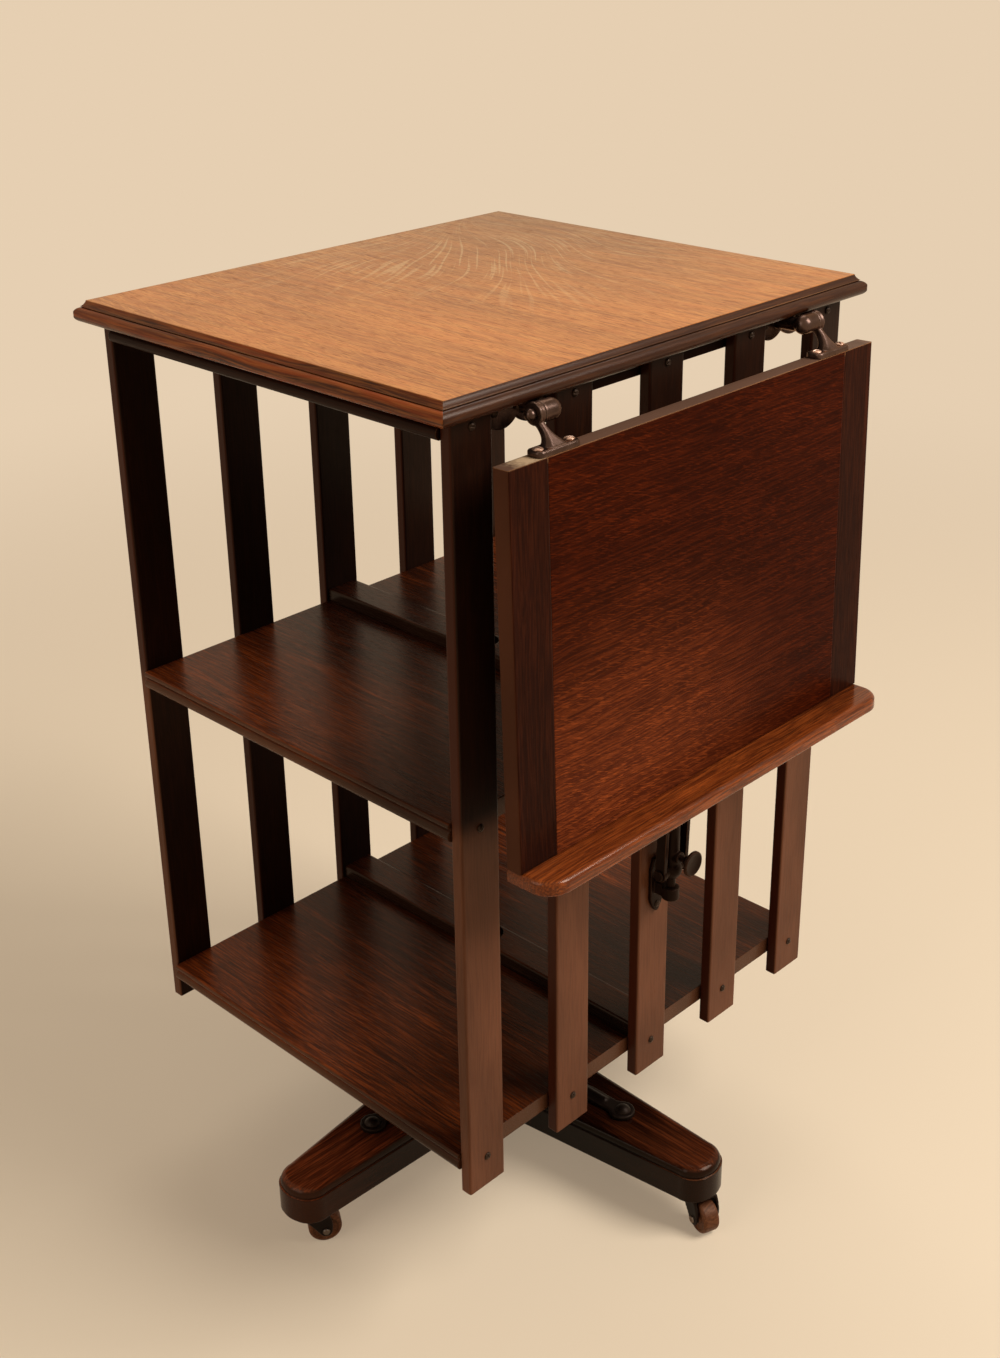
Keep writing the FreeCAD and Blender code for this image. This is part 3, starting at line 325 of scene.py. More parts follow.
def figure(tree, grain, board_mm, first_mm, corner=None):
    """Masks of oak's figure by name, drawn in millimetres along the fibres of boards glued side by side.

    Grain names the axes along the fibres, across the board and through it. One joint lies at first_mm.
    Corner is the upper corner of a board whose moulded edge is mitred.
    """
    log_mm, drift_mm, wander_mm = 900, (130, 60, 60), 9
    wood = bpy.context.scene.bookcase_wood
    place = add(tree, "TexCoord").outputs["Object"]
    in_mm = add(tree, "VectorMath", {"operation": "SCALE", "Scale": 1 / MM}, {0: place}).outputs[0]
    axes = add(tree, "SeparateXYZ", links={0: in_mm})
    along, across, through = (axes.outputs[axis] for axis in grain)
    masks = {}
    if corner is not None:
        turned = masks["side"] = mitred(tree, axes, corner)
        along, across = (add(tree, "Mix", links={0: turned, 2: pair[0], 3: pair[1]}).outputs[0]
                         for pair in ((along, across), (across, along)))
    # Each board comes from another stretch of the log
    count = add(tree, "Math", {"operation": "MULTIPLY_ADD", 1: 1 / board_mm, 2: -first_mm / board_mm}, {0: across})
    board = add(tree, "Math", {"operation": "FLOOR"}, {0: count.outputs[0]})
    chance = add(tree, "TexWhiteNoise", {"noise_dimensions": "1D"}, {"W": board.outputs[0]}).outputs["Value"]
    run = add(tree, "Math", {"operation": "MULTIPLY_ADD", 1: log_mm}, {0: chance, 2: along})
    fibre = add(tree, "CombineXYZ", links={0: run.outputs[0], 1: across, 2: through}).outputs[0]

    # Fibres wander a few millimetres to either side along the board
    drift = add(tree, "VectorMath", {"operation": "MULTIPLY", 1: tuple(1 / size for size in drift_mm)}, {0: fibre})
    drift = add(tree, "TexNoise", {"Scale": 1.0, "Detail": 1.0}, {"Vector": drift.outputs[0]})
    fibre = add(tree, "VectorMath", {"operation": "MULTIPLY_ADD", 1: (0, wander_mm, wander_mm)},
                {0: drift.outputs["Color"], 2: fibre}).outputs[0]

    # Each layer is noise stretched along the fibres: length and width in millimetres, detail, and the band kept.
    # Real fibres and pores are a few tenths of a millimetre wide, and are drawn coarser so that they show.
    pore_long, pore_wide = wood.pore_length / MM, wood.pore_width / MM
    layers = {"bands": (260, 8, 3, 0.36, 0.66), "fibres": (42, 1.6, 2, 0.38, 0.70),
              "pores": (pore_long, pore_wide, 1, 0.56, 0.70), "blotch": (190, 75, 2, 0.32, 0.68)}
    masks.update(chance=chance, place=place, axes=axes, fibre=fibre, drift=drift.outputs[0])
    for key, (long_mm, wide_mm, detail, low, high) in layers.items():
        stretch = add(tree, "VectorMath", {"operation": "MULTIPLY", 1: (1 / long_mm, 1 / wide_mm, 1 / wide_mm)},
                      {0: fibre})
        noise = add(tree, "TexNoise", {"Scale": 1.0, "Detail": detail, "Roughness": 0.55},
                    {"Vector": stretch.outputs[0]})
        masks[key] = add(tree, "MapRange", {**SMOOTH, "From Min": low, "From Max": high},
                         {"Value": noise.outputs[0]}).outputs[0]
    return masks


def ray_flecks(tree, masks, amount, long_mm, wide_mm):
    """Mask of the short pale ray flecks that lie aslant the fibres, in drifting patches."""
    slant = math.radians(16)
    aslant = add(tree, "VectorRotate", {"rotation_type": "Z_AXIS", "Angle": slant}, {"Vector": masks["fibre"]})
    stretch = add(tree, "VectorMath", {"operation": "MULTIPLY", 1: (1 / long_mm, 1 / wide_mm, 1 / wide_mm)},
                  {0: aslant.outputs[0]})
    fleck = add(tree, "TexNoise", {"Scale": 1.0, "Detail": 1.0}, {"Vector": stretch.outputs[0]})
    fleck = add(tree, "MapRange", {**SMOOTH, "From Min": 0.56, "From Max": 0.68}, {"Value": fleck.outputs[0]})
    patch = add(tree, "MapRange", {**SMOOTH, "From Min": 0.15, "From Max": 0.55, "To Max": amount},
                {"Value": masks["drift"]})
    return add(tree, "Math", {"operation": "MULTIPLY"}, {0: fleck.outputs[0], 1: patch.outputs[0]}).outputs[0]


def ray_fan(tree, masks, heart):
    """Mask of long rays that fan out from a point of the top, as a quarter-sawn board shows near the heart."""
    # Real rays are finer than this width, which they have at wide_at_mm from the heart, and wouldn't show
    long_mm, wide_mm, wide_at_mm = 100, 1.6, 130
    bend_mm, bend_over_mm = 90, 150
    reach_mm, full_share, strength = 460, 0.4, 0.62
    offset = add(tree, "VectorMath", {"operation": "SUBTRACT", 1: heart}, {0: masks["place"]})
    offset = add(tree, "VectorMath", {"operation": "SCALE", "Scale": 1 / MM}, {0: offset.outputs[0]}).outputs[0]
    bend = add(tree, "TexNoise", {"Scale": 1 / bend_over_mm, "Detail": 0.0}, {"Vector": offset})
    offset = add(tree, "VectorMath", {"operation": "MULTIPLY_ADD", 1: (bend_mm, bend_mm, 0)},
                 {0: bend.outputs["Color"], 2: offset}).outputs[0]
    axes = add(tree, "SeparateXYZ", links={0: offset})
    far = add(tree, "VectorMath", {"operation": "LENGTH"}, {0: offset}).outputs["Value"]
    turn = add(tree, "Math", {"operation": "ARCTAN2"}, {0: axes.outputs["Y"], 1: axes.outputs["X"]}).outputs[0]
    grid = add(tree, "CombineXYZ", links={
        0: add(tree, "Math", {"operation": "MULTIPLY", 1: 1 / long_mm}, {0: far}).outputs[0],
        1: add(tree, "Math", {"operation": "MULTIPLY", 1: wide_at_mm / wide_mm}, {0: turn}).outputs[0]})
    ray = add(tree, "TexNoise", {"Scale": 1.0, "Detail": 0.0}, {"Vector": grid.outputs[0]})
    ray = add(tree, "MapRange", {**SMOOTH, "From Min": 0.57, "From Max": 0.69}, {"Value": ray.outputs[0]})
    fade = add(tree, "MapRange", {**SMOOTH, "From Min": reach_mm, "From Max": reach_mm * full_share,
                                  "To Max": strength}, {"Value": far})
    return add(tree, "Math", {"operation": "MULTIPLY"}, {0: ray.outputs[0], 1: fade.outputs[0]}).outputs[0]


def light_reached(tree, masks, corner, shade_z):
    """Mask of painted light on the slats' outward faces, partly sun fading, left out as painted shadow behind the
    reading slope, which hangs down to shade_z.

    Corner holds the outermost slat's distance from the spindle along X and Y.
    """
    # Depths under a face, and heights over the slope's lower end, between which the mask runs out
    deep_mm, shallow_mm = 1.6, 0.4
    shaded_mm, lit_mm = 46, 22
    x, z = masks["axes"].outputs["X"], masks["axes"].outputs["Z"]
    near = []
    for axis, reach in zip("XY", corner):
        out = add(tree, "Math", {"operation": "ABSOLUTE"}, {0: masks["axes"].outputs[axis]})
        near.append(add(tree, "MapRange", {"From Min": reach / MM - deep_mm, "From Max": reach / MM - shallow_mm},
                        {"Value": out.outputs[0]}).outputs[0])
    below = add(tree, "MapRange", {**SMOOTH, "From Min": shade_z / MM + shaded_mm, "From Max": shade_z / MM + lit_mm},
                {"Value": z})
    other_side = add(tree, "Math", {"operation": "LESS_THAN", 1: 0.0}, {0: x})
    lit = add(tree, "Math", {"operation": "MAXIMUM"}, {0: below.outputs[0], 1: other_side.outputs[0]})
    face = add(tree, "Math", {"operation": "MULTIPLY"}, {0: near[0], 1: lit.outputs[0]})
    edge = add(tree, "Math", {"operation": "MULTIPLY"}, {0: near[1], 1: below.outputs[0]})
    return add(tree, "Math", {"operation": "MAXIMUM"}, {0: face.outputs[0], 1: edge.outputs[0]}).outputs[0]


def rubbed_arris(tree, masks, eased, amount, above_z):
    """Mask of the arrises where hands and cloths have rubbed the stain thin, all of them or those near above_z."""
    start_mm, full_mm = 5, 3
    # Cosines between the eased and the flat normal where the rubbing starts and where it is full
    start_turn, full_turn = 0.98, 0.80
    flat = add(tree, "NewGeometry").outputs["True Normal"]
    agree = add(tree, "VectorMath", {"operation": "DOT_PRODUCT"}, {0: eased, 1: flat})
    rubbed = add(tree, "MapRange", {"From Min": start_turn, "From Max": full_turn, "To Max": amount},
                 {"Value": agree.outputs["Value"]})
    kept = masks["blotch"]
    if above_z is not None:
        kept = add(tree, "MapRange", {"From Min": above_z / MM - start_mm, "From Max": above_z / MM - full_mm},
                   {"Value": masks["axes"].outputs["Z"]}).outputs[0]
    return add(tree, "Math", {"operation": "MULTIPLY"}, {0: rubbed.outputs[0], 1: kept}).outputs[0]


def painted_end_light(tree, masks, ends):
    """Painted light and shade as a level of the stain: strongest at a board's open end, weaker at the other one, and
    dark between them.
    """
    front, back_share, strongest, raggedness = math.copysign(1.0, ends.end), 0.6, 1.4, 0.5
    out = [add(tree, "Math", {"operation": "MULTIPLY", 1: share}, {0: masks["axes"].outputs[ends.axis]}).outputs[0]
           for share in (front, -back_share * front)]
    out = add(tree, "Math", {"operation": "MAXIMUM"}, {0: out[0], 1: out[1]})
    ragged = add(tree, "Math", {"operation": "MULTIPLY_ADD", 1: raggedness * ends.depth / MM},
                 {0: masks["bands"], 2: out.outputs[0]})
    return add(tree, "MapRange", {**SMOOTH, "From Min": (abs(ends.end) - ends.depth) / MM,
                                  "From Max": abs(ends.end) / MM, "To Min": ends.kept, "To Max": strongest},
               {"Value": ragged.outputs[0]}).outputs[0]


def painted_patch_mask(tree, masks, patch):
    """Mask of a broad patch where light and shade are painted as another level of stain, gone at its reach from its
    centre.
    """
    strength = 0.85
    offset = add(tree, "VectorMath", {"operation": "SUBTRACT", 1: patch.centre}, {0: masks["place"]})
    offset = add(tree, "VectorMath", {"operation": "MULTIPLY", 1: patch.flatten}, {0: offset.outputs[0]})
    far = add(tree, "VectorMath", {"operation": "LENGTH"}, {0: offset.outputs[0]})
    return add(tree, "MapRange", {**SMOOTH, "From Min": patch.reach, "From Max": 0.0, "To Max": strength},
               {"Value": far.outputs["Value"]}).outputs[0]


def facing(tree, axis):
    """Mask of the faces that look along an axis, either way."""
    normal = add(tree, "SeparateXYZ", links={0: add(tree, "TexCoord").outputs["Normal"]})
    size = add(tree, "Math", {"operation": "ABSOLUTE"}, {0: normal.outputs[axis]})
    return add(tree, "MapRange", {"From Min": 0.55, "From Max": 0.9}, {"Value": size.outputs[0]}).outputs[0]


def lit_ends(tree, level):
    """The painted shade level, and 1 on the faces that look along X, where light comes in beside the slats."""
    return add(tree, "MapRange", {"To Max": 1.0}, {"Value": facing(tree, "X"), "To Min": level}).outputs[0]


def bared(tree, masks, centre):
    """Mask of the worn patch of bare wood on an upper edge, with a ragged rim."""
    chip, raggedness, bare_within, gone_at = 4 * MM, 26 * MM, 18 * MM, 34 * MM
    reach = add(tree, "VectorMath", {"operation": "DISTANCE", 1: centre}, {0: masks["place"]})
    ragged = add(tree, "TexNoise", {"Scale": 1 / chip, "Detail": 3.0}, {"Vector": masks["place"]})
    ragged = add(tree, "Math", {"operation": "MULTIPLY_ADD", 1: raggedness},
                 {0: ragged.outputs[0], 2: reach.outputs["Value"]})
    worn = add(tree, "MapRange", {"From Min": gone_at, "From Max": bare_within, "To Max": 0.8},
               {"Value": ragged.outputs[0]})
    return add(tree, "Math", {"operation": "MULTIPLY"}, {0: worn.outputs[0], 1: facing(tree, "Z")}).outputs[0]


def above_moulding(tree, masks, corner):
    """Mask of a board's flat, above its moulded edge."""
    flat_mm = corner.z / MM
    return add(tree, "MapRange", {"From Min": flat_mm - 0.5, "From Max": flat_mm - 0.1},
               {"Value": masks["axes"].outputs["Z"]}).outputs[0]


def moulded_stain(tree, masks, share, edge, body):
    """Stain of a moulded edge, streaked along its own fibres and more faintly on the X sides, with painted light on
    the front and back and painted shade on the X sides.
    """
    side_share = 0.15
    stain = blend(tree, masks["side"], edge.front, edge.side)
    for key, most, other in (("bands", 1.6, edge.deep), ("fibres", 0.5, body)):
        strength = add(tree, "MapRange", {"To Min": most, "To Max": side_share * most}, {"Value": masks["side"]})
        lines = add(tree, "Math", {"operation": "MULTIPLY"}, {0: share[key], 1: strength.outputs[0]})
        stain = blend(tree, lines.outputs[0], stain, other)
    return stain


def stained(tree, masks, share, look):
    """Colour of the stained wood, with its patches of painted light and shade, before wear and the painted shade of
    its level.
    """
    wood = bpy.context.scene.bookcase_wood
    pale, mid, deep = look.tones
    tone = blend(tree, share["bands"], mid, deep)
    tone = blend(tree, share["fibres"], tone, pale)
    if look.rays:
        tone = blend(tree, ray_flecks(tree, masks, look.rays, *look.fleck_mm), tone, pale)
    if look.fan:
        tone = blend(tree, ray_fan(tree, masks, look.fan), tone, wood.top_ray)
    tone = blend(tree, share["pores"], tone, deep)
    # Painted light on the lower part of the slope and painted shade at the back of the top
    if look.thin:
        painted_gain = blend(tree, painted_patch_mask(tree, masks, look.thin), (1, 1, 1), look.thin.gain)
        tone = add(tree, "VectorMath", {"operation": "MULTIPLY"}, {0: tone, 1: painted_gain}).outputs[0]
    if look.edge:
        stain = moulded_stain(tree, masks, share, look.edge, mid)
        tone = blend(tree, above_moulding(tree, masks, look.edge.corner), stain, tone)
    for axis, dull in look.flank:
        tone = blend(tree, facing(tree, axis), tone, dull)
    # Painted light on the slats' outward faces, partly fading, and the reading slope's painted shadow above its lower
    # end
    if look.faded:
        kept = blend(tree, share["fibres"], look.faded.stain, look.faded.deep)
        tone = blend(tree, light_reached(tree, masks, look.faded.corner, look.faded.shade_z), tone, kept)
    return tone


def stain_level(tree, masks, look):
    """Level of the stain: cloudy, a little different from board to board, with painted shade in crevices, inside open
    ends and behind the reading slope, and painted light at the open ends.
    """
    board_change = 0.14
    level = add(tree, "MapRange", {"To Min": look.cloud[0], "To Max": look.cloud[1]}, {"Value": masks["blotch"]})
    level = add(tree, "Math", {"operation": "MULTIPLY_ADD", 1: board_change},
                {0: masks["chance"], 2: level.outputs[0]})
    # Painted shade: ambient occlusion darkens the stain in the quirks, inner corners and gaps between parts
    painted_crevice_shade = add(tree, "AmbientOcclusion", {"samples": 4, "Distance": 6 * MM})
    painted_crevice_shade = add(tree, "MapRange", {"From Max": 0.8, "To Min": 0.3}, {"Value": painted_crevice_shade.outputs["AO"]})
    factors = [painted_crevice_shade.outputs[0]]
    if look.inner:
        reached = painted_end_light(tree, masks, look.inner)
        factors.append(lit_ends(tree, reached) if look.shade else reached)
    if look.shade:
        behind = add(tree, "MapRange", {**SMOOTH, "From Min": look.shade.start_mm, "From Max": look.shade.end_mm,
                                        "To Min": 1.0, "To Max": look.shade.kept},
                     {"Value": masks["axes"].outputs["X"]})
        factors.append(lit_ends(tree, behind.outputs[0]))
    for factor in factors:
        level = add(tree, "Math", {"operation": "MULTIPLY"}, {0: level.outputs[0], 1: factor})
    return level.outputs[0]


def oak(name, **details):
    """Quarter-sawn oak, stained and French polished, with the details of an OakFinish.

    It shows the eye a streaky open grain, pale rays, rubbed arrises and the soft sheen of old shellac.
    """
    arris, pore_depth, moulding_roughness = 1.6 * MM, 0.25 * MM, 0.26
    wood = bpy.context.scene.bookcase_wood
    look = OakFinish(**details)
    material, tree = blank_material(name)
    masks = figure(tree, look.grain, look.board_mm, look.first_mm, look.edge.corner if look.edge else None)
    share = {key: add(tree, "Math", {"operation": "MULTIPLY", 1: most * look.streaks}, {0: masks[key]}).outputs[0]
             for key, most in (("bands", 0.45), ("fibres", 0.5), ("pores", 0.6))}
    tone = stained(tree, masks, share, look)
    eased = add(tree, "Bevel", {"samples": 6, "Radius": arris}).outputs[0]
    tone = blend(tree, rubbed_arris(tree, masks, eased, look.wear, look.wear_z), tone, wood.worn)
    if look.inner:
        tone = blend(tree, facing(tree, "Z"), look.inner.stain, tone)
    level = stain_level(tree, masks, look)
    tone = add(tree, "VectorMath", {"operation": "SCALE"}, {0: tone, "Scale": level}).outputs[0]
    if look.bare:
        tone = blend(tree, bared(tree, masks, look.bare), tone, wood.bare_wood)

    relief = add(tree, "Math", {"operation": "MULTIPLY_ADD", 1: -1.0}, {0: share["pores"], 2: share["fibres"]})
    bump = add(tree, "Bump", {"Strength": 0.10, "Distance": pore_depth},
               {"Height": relief.outputs[0], "Normal": eased})
    # The polish has sunk into the open pores, which are duller
    sheen = add(tree, "MapRange", {"To Min": look.roughness - 0.04, "To Max": look.roughness + 0.14},
                {"Value": masks["pores"]})
    if look.edge:
        sheen = add(tree, "MapRange", {"To Min": moulding_roughness},
                    {"Value": above_moulding(tree, masks, look.edge.corner), "To Max": sheen.outputs[0]})
    shader = add(tree, "BsdfPrincipled",
                 {"IOR": 1.5, "Specular IOR Level": look.gloss, "Specular Tint": rgba(wood.polish)},
                 {"Base Color": tone, "Roughness": sheen.outputs[0], "Normal": bump.outputs[0]})
    add(tree, "OutputMaterial", links={"Surface": shader.outputs[0]})
    return material


def iron(name, body, worn, metallic, roughness, grit_mm, gloss=0.5):
    """Sand-cast or drawn metal under an old finish: faint pitting, uneven sheen and rubbed bright edges.

    Real sand grit is a few tenths of a millimetre, too fine to show, so grit_mm draws it coarser.
    """
    arris, cloud_size, pit_depth = 1.4 * MM, 14 * MM, 0.2 * MM
    # Cosines between the eased and the flat normal where the rubbing starts and where it is full
    start_turn, full_turn = 0.995, 0.90
    metal = bpy.context.scene.bookcase_metal
    material, tree = blank_material(name)
    place = add(tree, "TexCoord").outputs["Object"]
    grit = add(tree, "TexNoise", {"Scale": 1 / (grit_mm * MM), "Detail": 3.0}, {"Vector": place})
    cloud = add(tree, "TexNoise", {"Scale": 1 / cloud_size, "Detail": 2.0}, {"Vector": place})
    eased = add(tree, "Bevel", {"samples": 6, "Radius": arris})
    flat = add(tree, "NewGeometry").outputs["Normal"]
    agree = add(tree, "VectorMath", {"operation": "DOT_PRODUCT"}, {0: eased.outputs[0], 1: flat})
    rubbed = add(tree, "MapRange", {"From Min": start_turn, "From Max": full_turn, "To Max": 0.7},
                 {"Value": agree.outputs["Value"]})
    rubbed = add(tree, "Math", {"operation": "MULTIPLY"}, {0: rubbed.outputs[0], 1: cloud.outputs[0]})
    tone = blend(tree, rubbed.outputs[0], body, worn)
    uneven = {"From Min": 0.3, "From Max": 0.7}
    level = add(tree, "MapRange", {**uneven, "To Min": 0.75, "To Max": 1.25}, {"Value": cloud.outputs[0]})
    tone = add(tree, "VectorMath", {"operation": "SCALE"}, {0: tone, "Scale": level.outputs[0]})
    sheen = add(tree, "MapRange", {**uneven, "To Min": roughness - 0.06, "To Max": roughness + 0.1},
                {"Value": cloud.outputs[0]})
    bump = add(tree, "Bump", {"Strength": 0.03, "Distance": pit_depth},
               {"Height": grit.outputs[0], "Normal": eased.outputs[0]})
    shader = add(tree, "BsdfPrincipled",
                 {"Metallic": metallic, "Specular IOR Level": gloss, "Specular Tint": rgba(metal.oil)},
                 {"Base Color": tone.outputs[0], "Roughness": sheen.outputs[0], "Normal": bump.outputs[0]})
    add(tree, "OutputMaterial", links={"Surface": shader.outputs[0]})
    return material


def dress(material, *prefixes):
    """Gives a material to every frame node whose name starts with one of the prefixes."""
    found = [node for node in NODES if node.startswith(prefixes)]
    if not found:
        raise RuntimeError("no node starts with %s" % (prefixes,))
    for node in found:
        NODES[node].data.materials.clear()
        NODES[node].data.materials.append(material)


def new_piece(name, mesh, material, body, slot, *stands_for):
    """Adds a finished mesh as a piece that rides on a body."""
    piece = bpy.data.objects.new(name, mesh)
    bpy.context.scene.collection.objects.link(piece)
    mesh.materials.clear()
    mesh.materials.append(material)
    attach(piece, body)
    if stands_for:
        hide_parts(*stands_for)


def baked_mesh(piece):
    """Mesh of an object with its modifiers applied; the object itself goes away."""
    bpy.context.view_layer.update()
    graph = bpy.context.evaluated_depsgraph_get()
    mesh = bpy.data.meshes.new_from_object(piece.evaluated_get(graph))
    bpy.data.objects.remove(piece)
    return mesh


def casting(node, voxel_mm, smoothing):
    """Copy of a node's shape with its sharp inner and outer corners run together, as in a sand casting."""
    source = bpy.data.objects.new(node + "_pattern", NODES[node].data.copy())
    bpy.context.scene.collection.objects.link(source)
    shape = bmesh.new()
    shape.from_mesh(source.data)
    bmesh.ops.remove_doubles(shape, verts=shape.verts, dist=WELD)
    shape.to_mesh(source.data)
    shape.free()
    remesh = source.modifiers.new("skin", "REMESH")
    remesh.mode = "VOXEL"
    remesh.voxel_size = voxel_mm * MM
    soften = source.modifiers.new("soften", "SMOOTH")
    soften.factor = 0.5
    soften.iterations = smoothing
    mesh = baked_mesh(source)
    mesh.name = node + "_casting"
    mesh.shade_smooth()
    return mesh


def lathe(profile, steps, wave=None):
    """Bmesh turned about +X from rows of place, radius and whether wave cuts that radius at each step."""
    shape = bmesh.new()
    rings = []
    for x, radius, cut in profile:
        ring = []
        for step in range(steps):
            angle = 2 * math.pi * step / steps
            size = radius - (wave(step) if cut and wave else 0.0)
            ring.append(shape.verts.new((x, size * math.cos(angle), size * math.sin(angle))))
        rings.append(ring)
    for low, high in zip(rings, rings[1:]):
        for step in range(steps):
            after = (step + 1) % steps
            shape.faces.new((low[step], low[after], high[after], high[step]))
    shape.faces.new(tuple(reversed(rings[0])))
    shape.faces.new(tuple(rings[-1]))
    bmesh.ops.recalc_face_normals(shape, faces=shape.faces)
    return shape


class BOOKCASE_OT_polish_case(bpy.types.Operator):
    """Stain and polish the top, the shelves, the slats and the book stops"""
    bl_idname = "bookcase.polish_case"
    bl_label = "Polish the Case"

    def execute(self, context):
        wood = context.scene.bookcase_wood
        low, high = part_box("top_board")
        # The rays fan out from a point just past the back edge
        heart = (low.x + 60 * MM, high.y + 10 * MM, high.z)
        # Light has faded the flat of the top, and its moulded edge kept the first stain, painted lighter on the front
        # and back and darker on the X sides as painted light and shade; the back of the top has painted shade
        dress(oak("Faded quartered oak top", tones=(wood.top_pale, wood.top_mid, wood.top_deep), grain="XYZ",
                  board_mm=178, streaks=1.3, rays=0.6, fleck_mm=(22, 1.6), fan=heart, roughness=0.32, gloss=0.2,
                  cloud=(0.93, 1.06), thin=PaintedPatch(wood.top_back_shade, heart, reach=520 * MM),
                  edge=Moulding(wood.edge_front_lit, wood.edge_side_shade, wood.edge_deep, high)), "top_board")
        # Dry old polish leaves the slats duller and browner than the shelves
        # The outward faces take painted light, and the reading slope's shadow is painted on them above its lower end
        near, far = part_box("slat_right_1")
        outer = (far.x, max(abs(near.y), abs(far.y)))
        slope_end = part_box("book_ledge")[0].z
        dark_tones = (wood.slat_pale, wood.slat_mid, wood.slat_deep)
        dress(oak("Dark oak slats", tones=dark_tones, grain="ZYX", board_mm=112, first_mm=56, streaks=0.6,
                  roughness=0.40, gloss=0.1, flank=(("Y", wood.slat_flank),),
                  faded=LitFading(wood.slat_lit_faded, wood.slat_lit_faded_deep, outer, slope_end)), "slat_right", "slat_left")
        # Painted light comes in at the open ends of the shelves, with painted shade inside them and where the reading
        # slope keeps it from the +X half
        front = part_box("shelf_middle")[0].y
        dress(oak("Dark oak shelves", tones=(wood.case_pale, wood.case_mid, wood.case_deep), grain="XYZ",
                  board_mm=166, first_mm=-83, streaks=1.2, roughness=0.3, gloss=0.14,
                  inner=OpenEnds(wood.case_edge, "Y", front, depth=170 * MM, kept=0.3),
                  shade=Shade(start_mm=-20, end_mm=150, kept=0.35)),
              "shelf", "book_stop")
        # The sub-top has never been rubbed or polished since, and is nearly matt
        dress(oak("Dark oak sub-top", tones=dark_tones, grain="XYZ", board_mm=166, first_mm=-83, streaks=0.6,
                  gloss=0.06), "sub_top")
        return {"FINISHED"}


class BOOKCASE_OT_polish_slope(bpy.types.Operator):
    """Stain and polish the reading panel, its cleats and the ledge"""
    bl_idname = "bookcase.polish_slope"
    bl_label = "Polish the Reading Slope"

    def execute(self, context):
        wood = context.scene.bookcase_wood
        panel_low, panel_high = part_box("slope_panel")
        low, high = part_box("slope_cleat_near")
        corner = (low.x + 8 * MM, low.y + 28 * MM, high.z)
        # The panel is of two boards, joined at about a quarter of its height from the top
        joint_mm = (panel_high.z - 0.27 * (panel_high.z - panel_low.z)) / MM
        # Centre of the glow of painted light on the lower part of the panel
        glow_centre = (panel_high.x, panel_low.y + 60 * MM, panel_low.z + 20 * MM)
        # Little light reached the panel, so its red-brown stain is still deep; a glow of painted light lies over its
        # lower part
        dress(oak("Red oak panel", tones=(wood.slope_pale, wood.slope_mid, wood.slope_deep), grain="YZX",
                  board_mm=260, first_mm=joint_mm, streaks=0.5, rays=0.35, fleck_mm=(11, 1.0), gloss=0.02,
                  cloud=(0.84, 1.1), flank=(("Z", wood.slope_top),),
                  thin=PaintedPatch(wood.slope_glow, glow_centre, reach=230 * MM, flatten=(1, 0.75, 1)), wear=0.8,
                  wear_z=high.z),
              "slope_panel")
        # The cleats are browner than the panel, dull at their sides, dusty on top and worn bare at one corner
        dress(oak("Red oak cleats", tones=(wood.cleat_pale, wood.cleat_mid, wood.cleat_deep), grain="ZYX",
                  board_mm=90, first_mm=45, streaks=0.45, gloss=0.03,
                  flank=(("Y", wood.slope_flank), ("Z", wood.slope_top)), wear=0.8, wear_z=high.z, bare=corner),
              "slope_cleat")
        # Books and hands have worn the ledge to a lighter, glossier brown
        dress(oak("Red oak ledge", tones=(wood.ledge_pale, wood.ledge_mid, wood.ledge_deep), grain="YXZ",
                  board_mm=90, first_mm=200, roughness=0.2, gloss=0.3), "book_ledge")
        return {"FINISHED"}


class BOOKCASE_OT_polish_base(bpy.types.Operator):
    """Stain and polish the crossed base boards and oil the castor wheels"""
    bl_idname = "bookcase.polish_base"
    bl_label = "Polish the Base"

    def execute(self, context):
        wood = context.scene.bookcase_wood
        # Feet brush the arms, which keeps them glossy; their ends take painted light and their insides painted shade,
        # and the cloud paints the board across Y lighter and the board along X darker
        boards = (("base_board_x", "XYZ", "along", (0.33, 0.54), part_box("base_board_x")[1].x),
                  ("base_board_y", "YXZ", "across", (1.9, 2.8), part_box("base_board_y")[0].y))
        for node, grain, name, cloud, end in boards:
            dress(oak("Oak base board " + name, tones=(wood.base_pale, wood.base_mid, wood.base_deep), grain=grain,
                      board_mm=200, first_mm=-100, streaks=0.9, roughness=0.14, gloss=0.12, cloud=cloud,
                      inner=OpenEnds(wood.base_edge, grain[0], end, depth=105 * MM, kept=0.28)), node)
        # Turned wheels are worn dry and pale by the floor
        dress(oak("Turned castor wood", tones=(wood.wheel_pale, wood.wheel_mid, wood.wheel_deep), grain="YXZ",
                  board_mm=60, roughness=0.5, gloss=0.2), "castor_wheel")
        return {"FINISHED"}


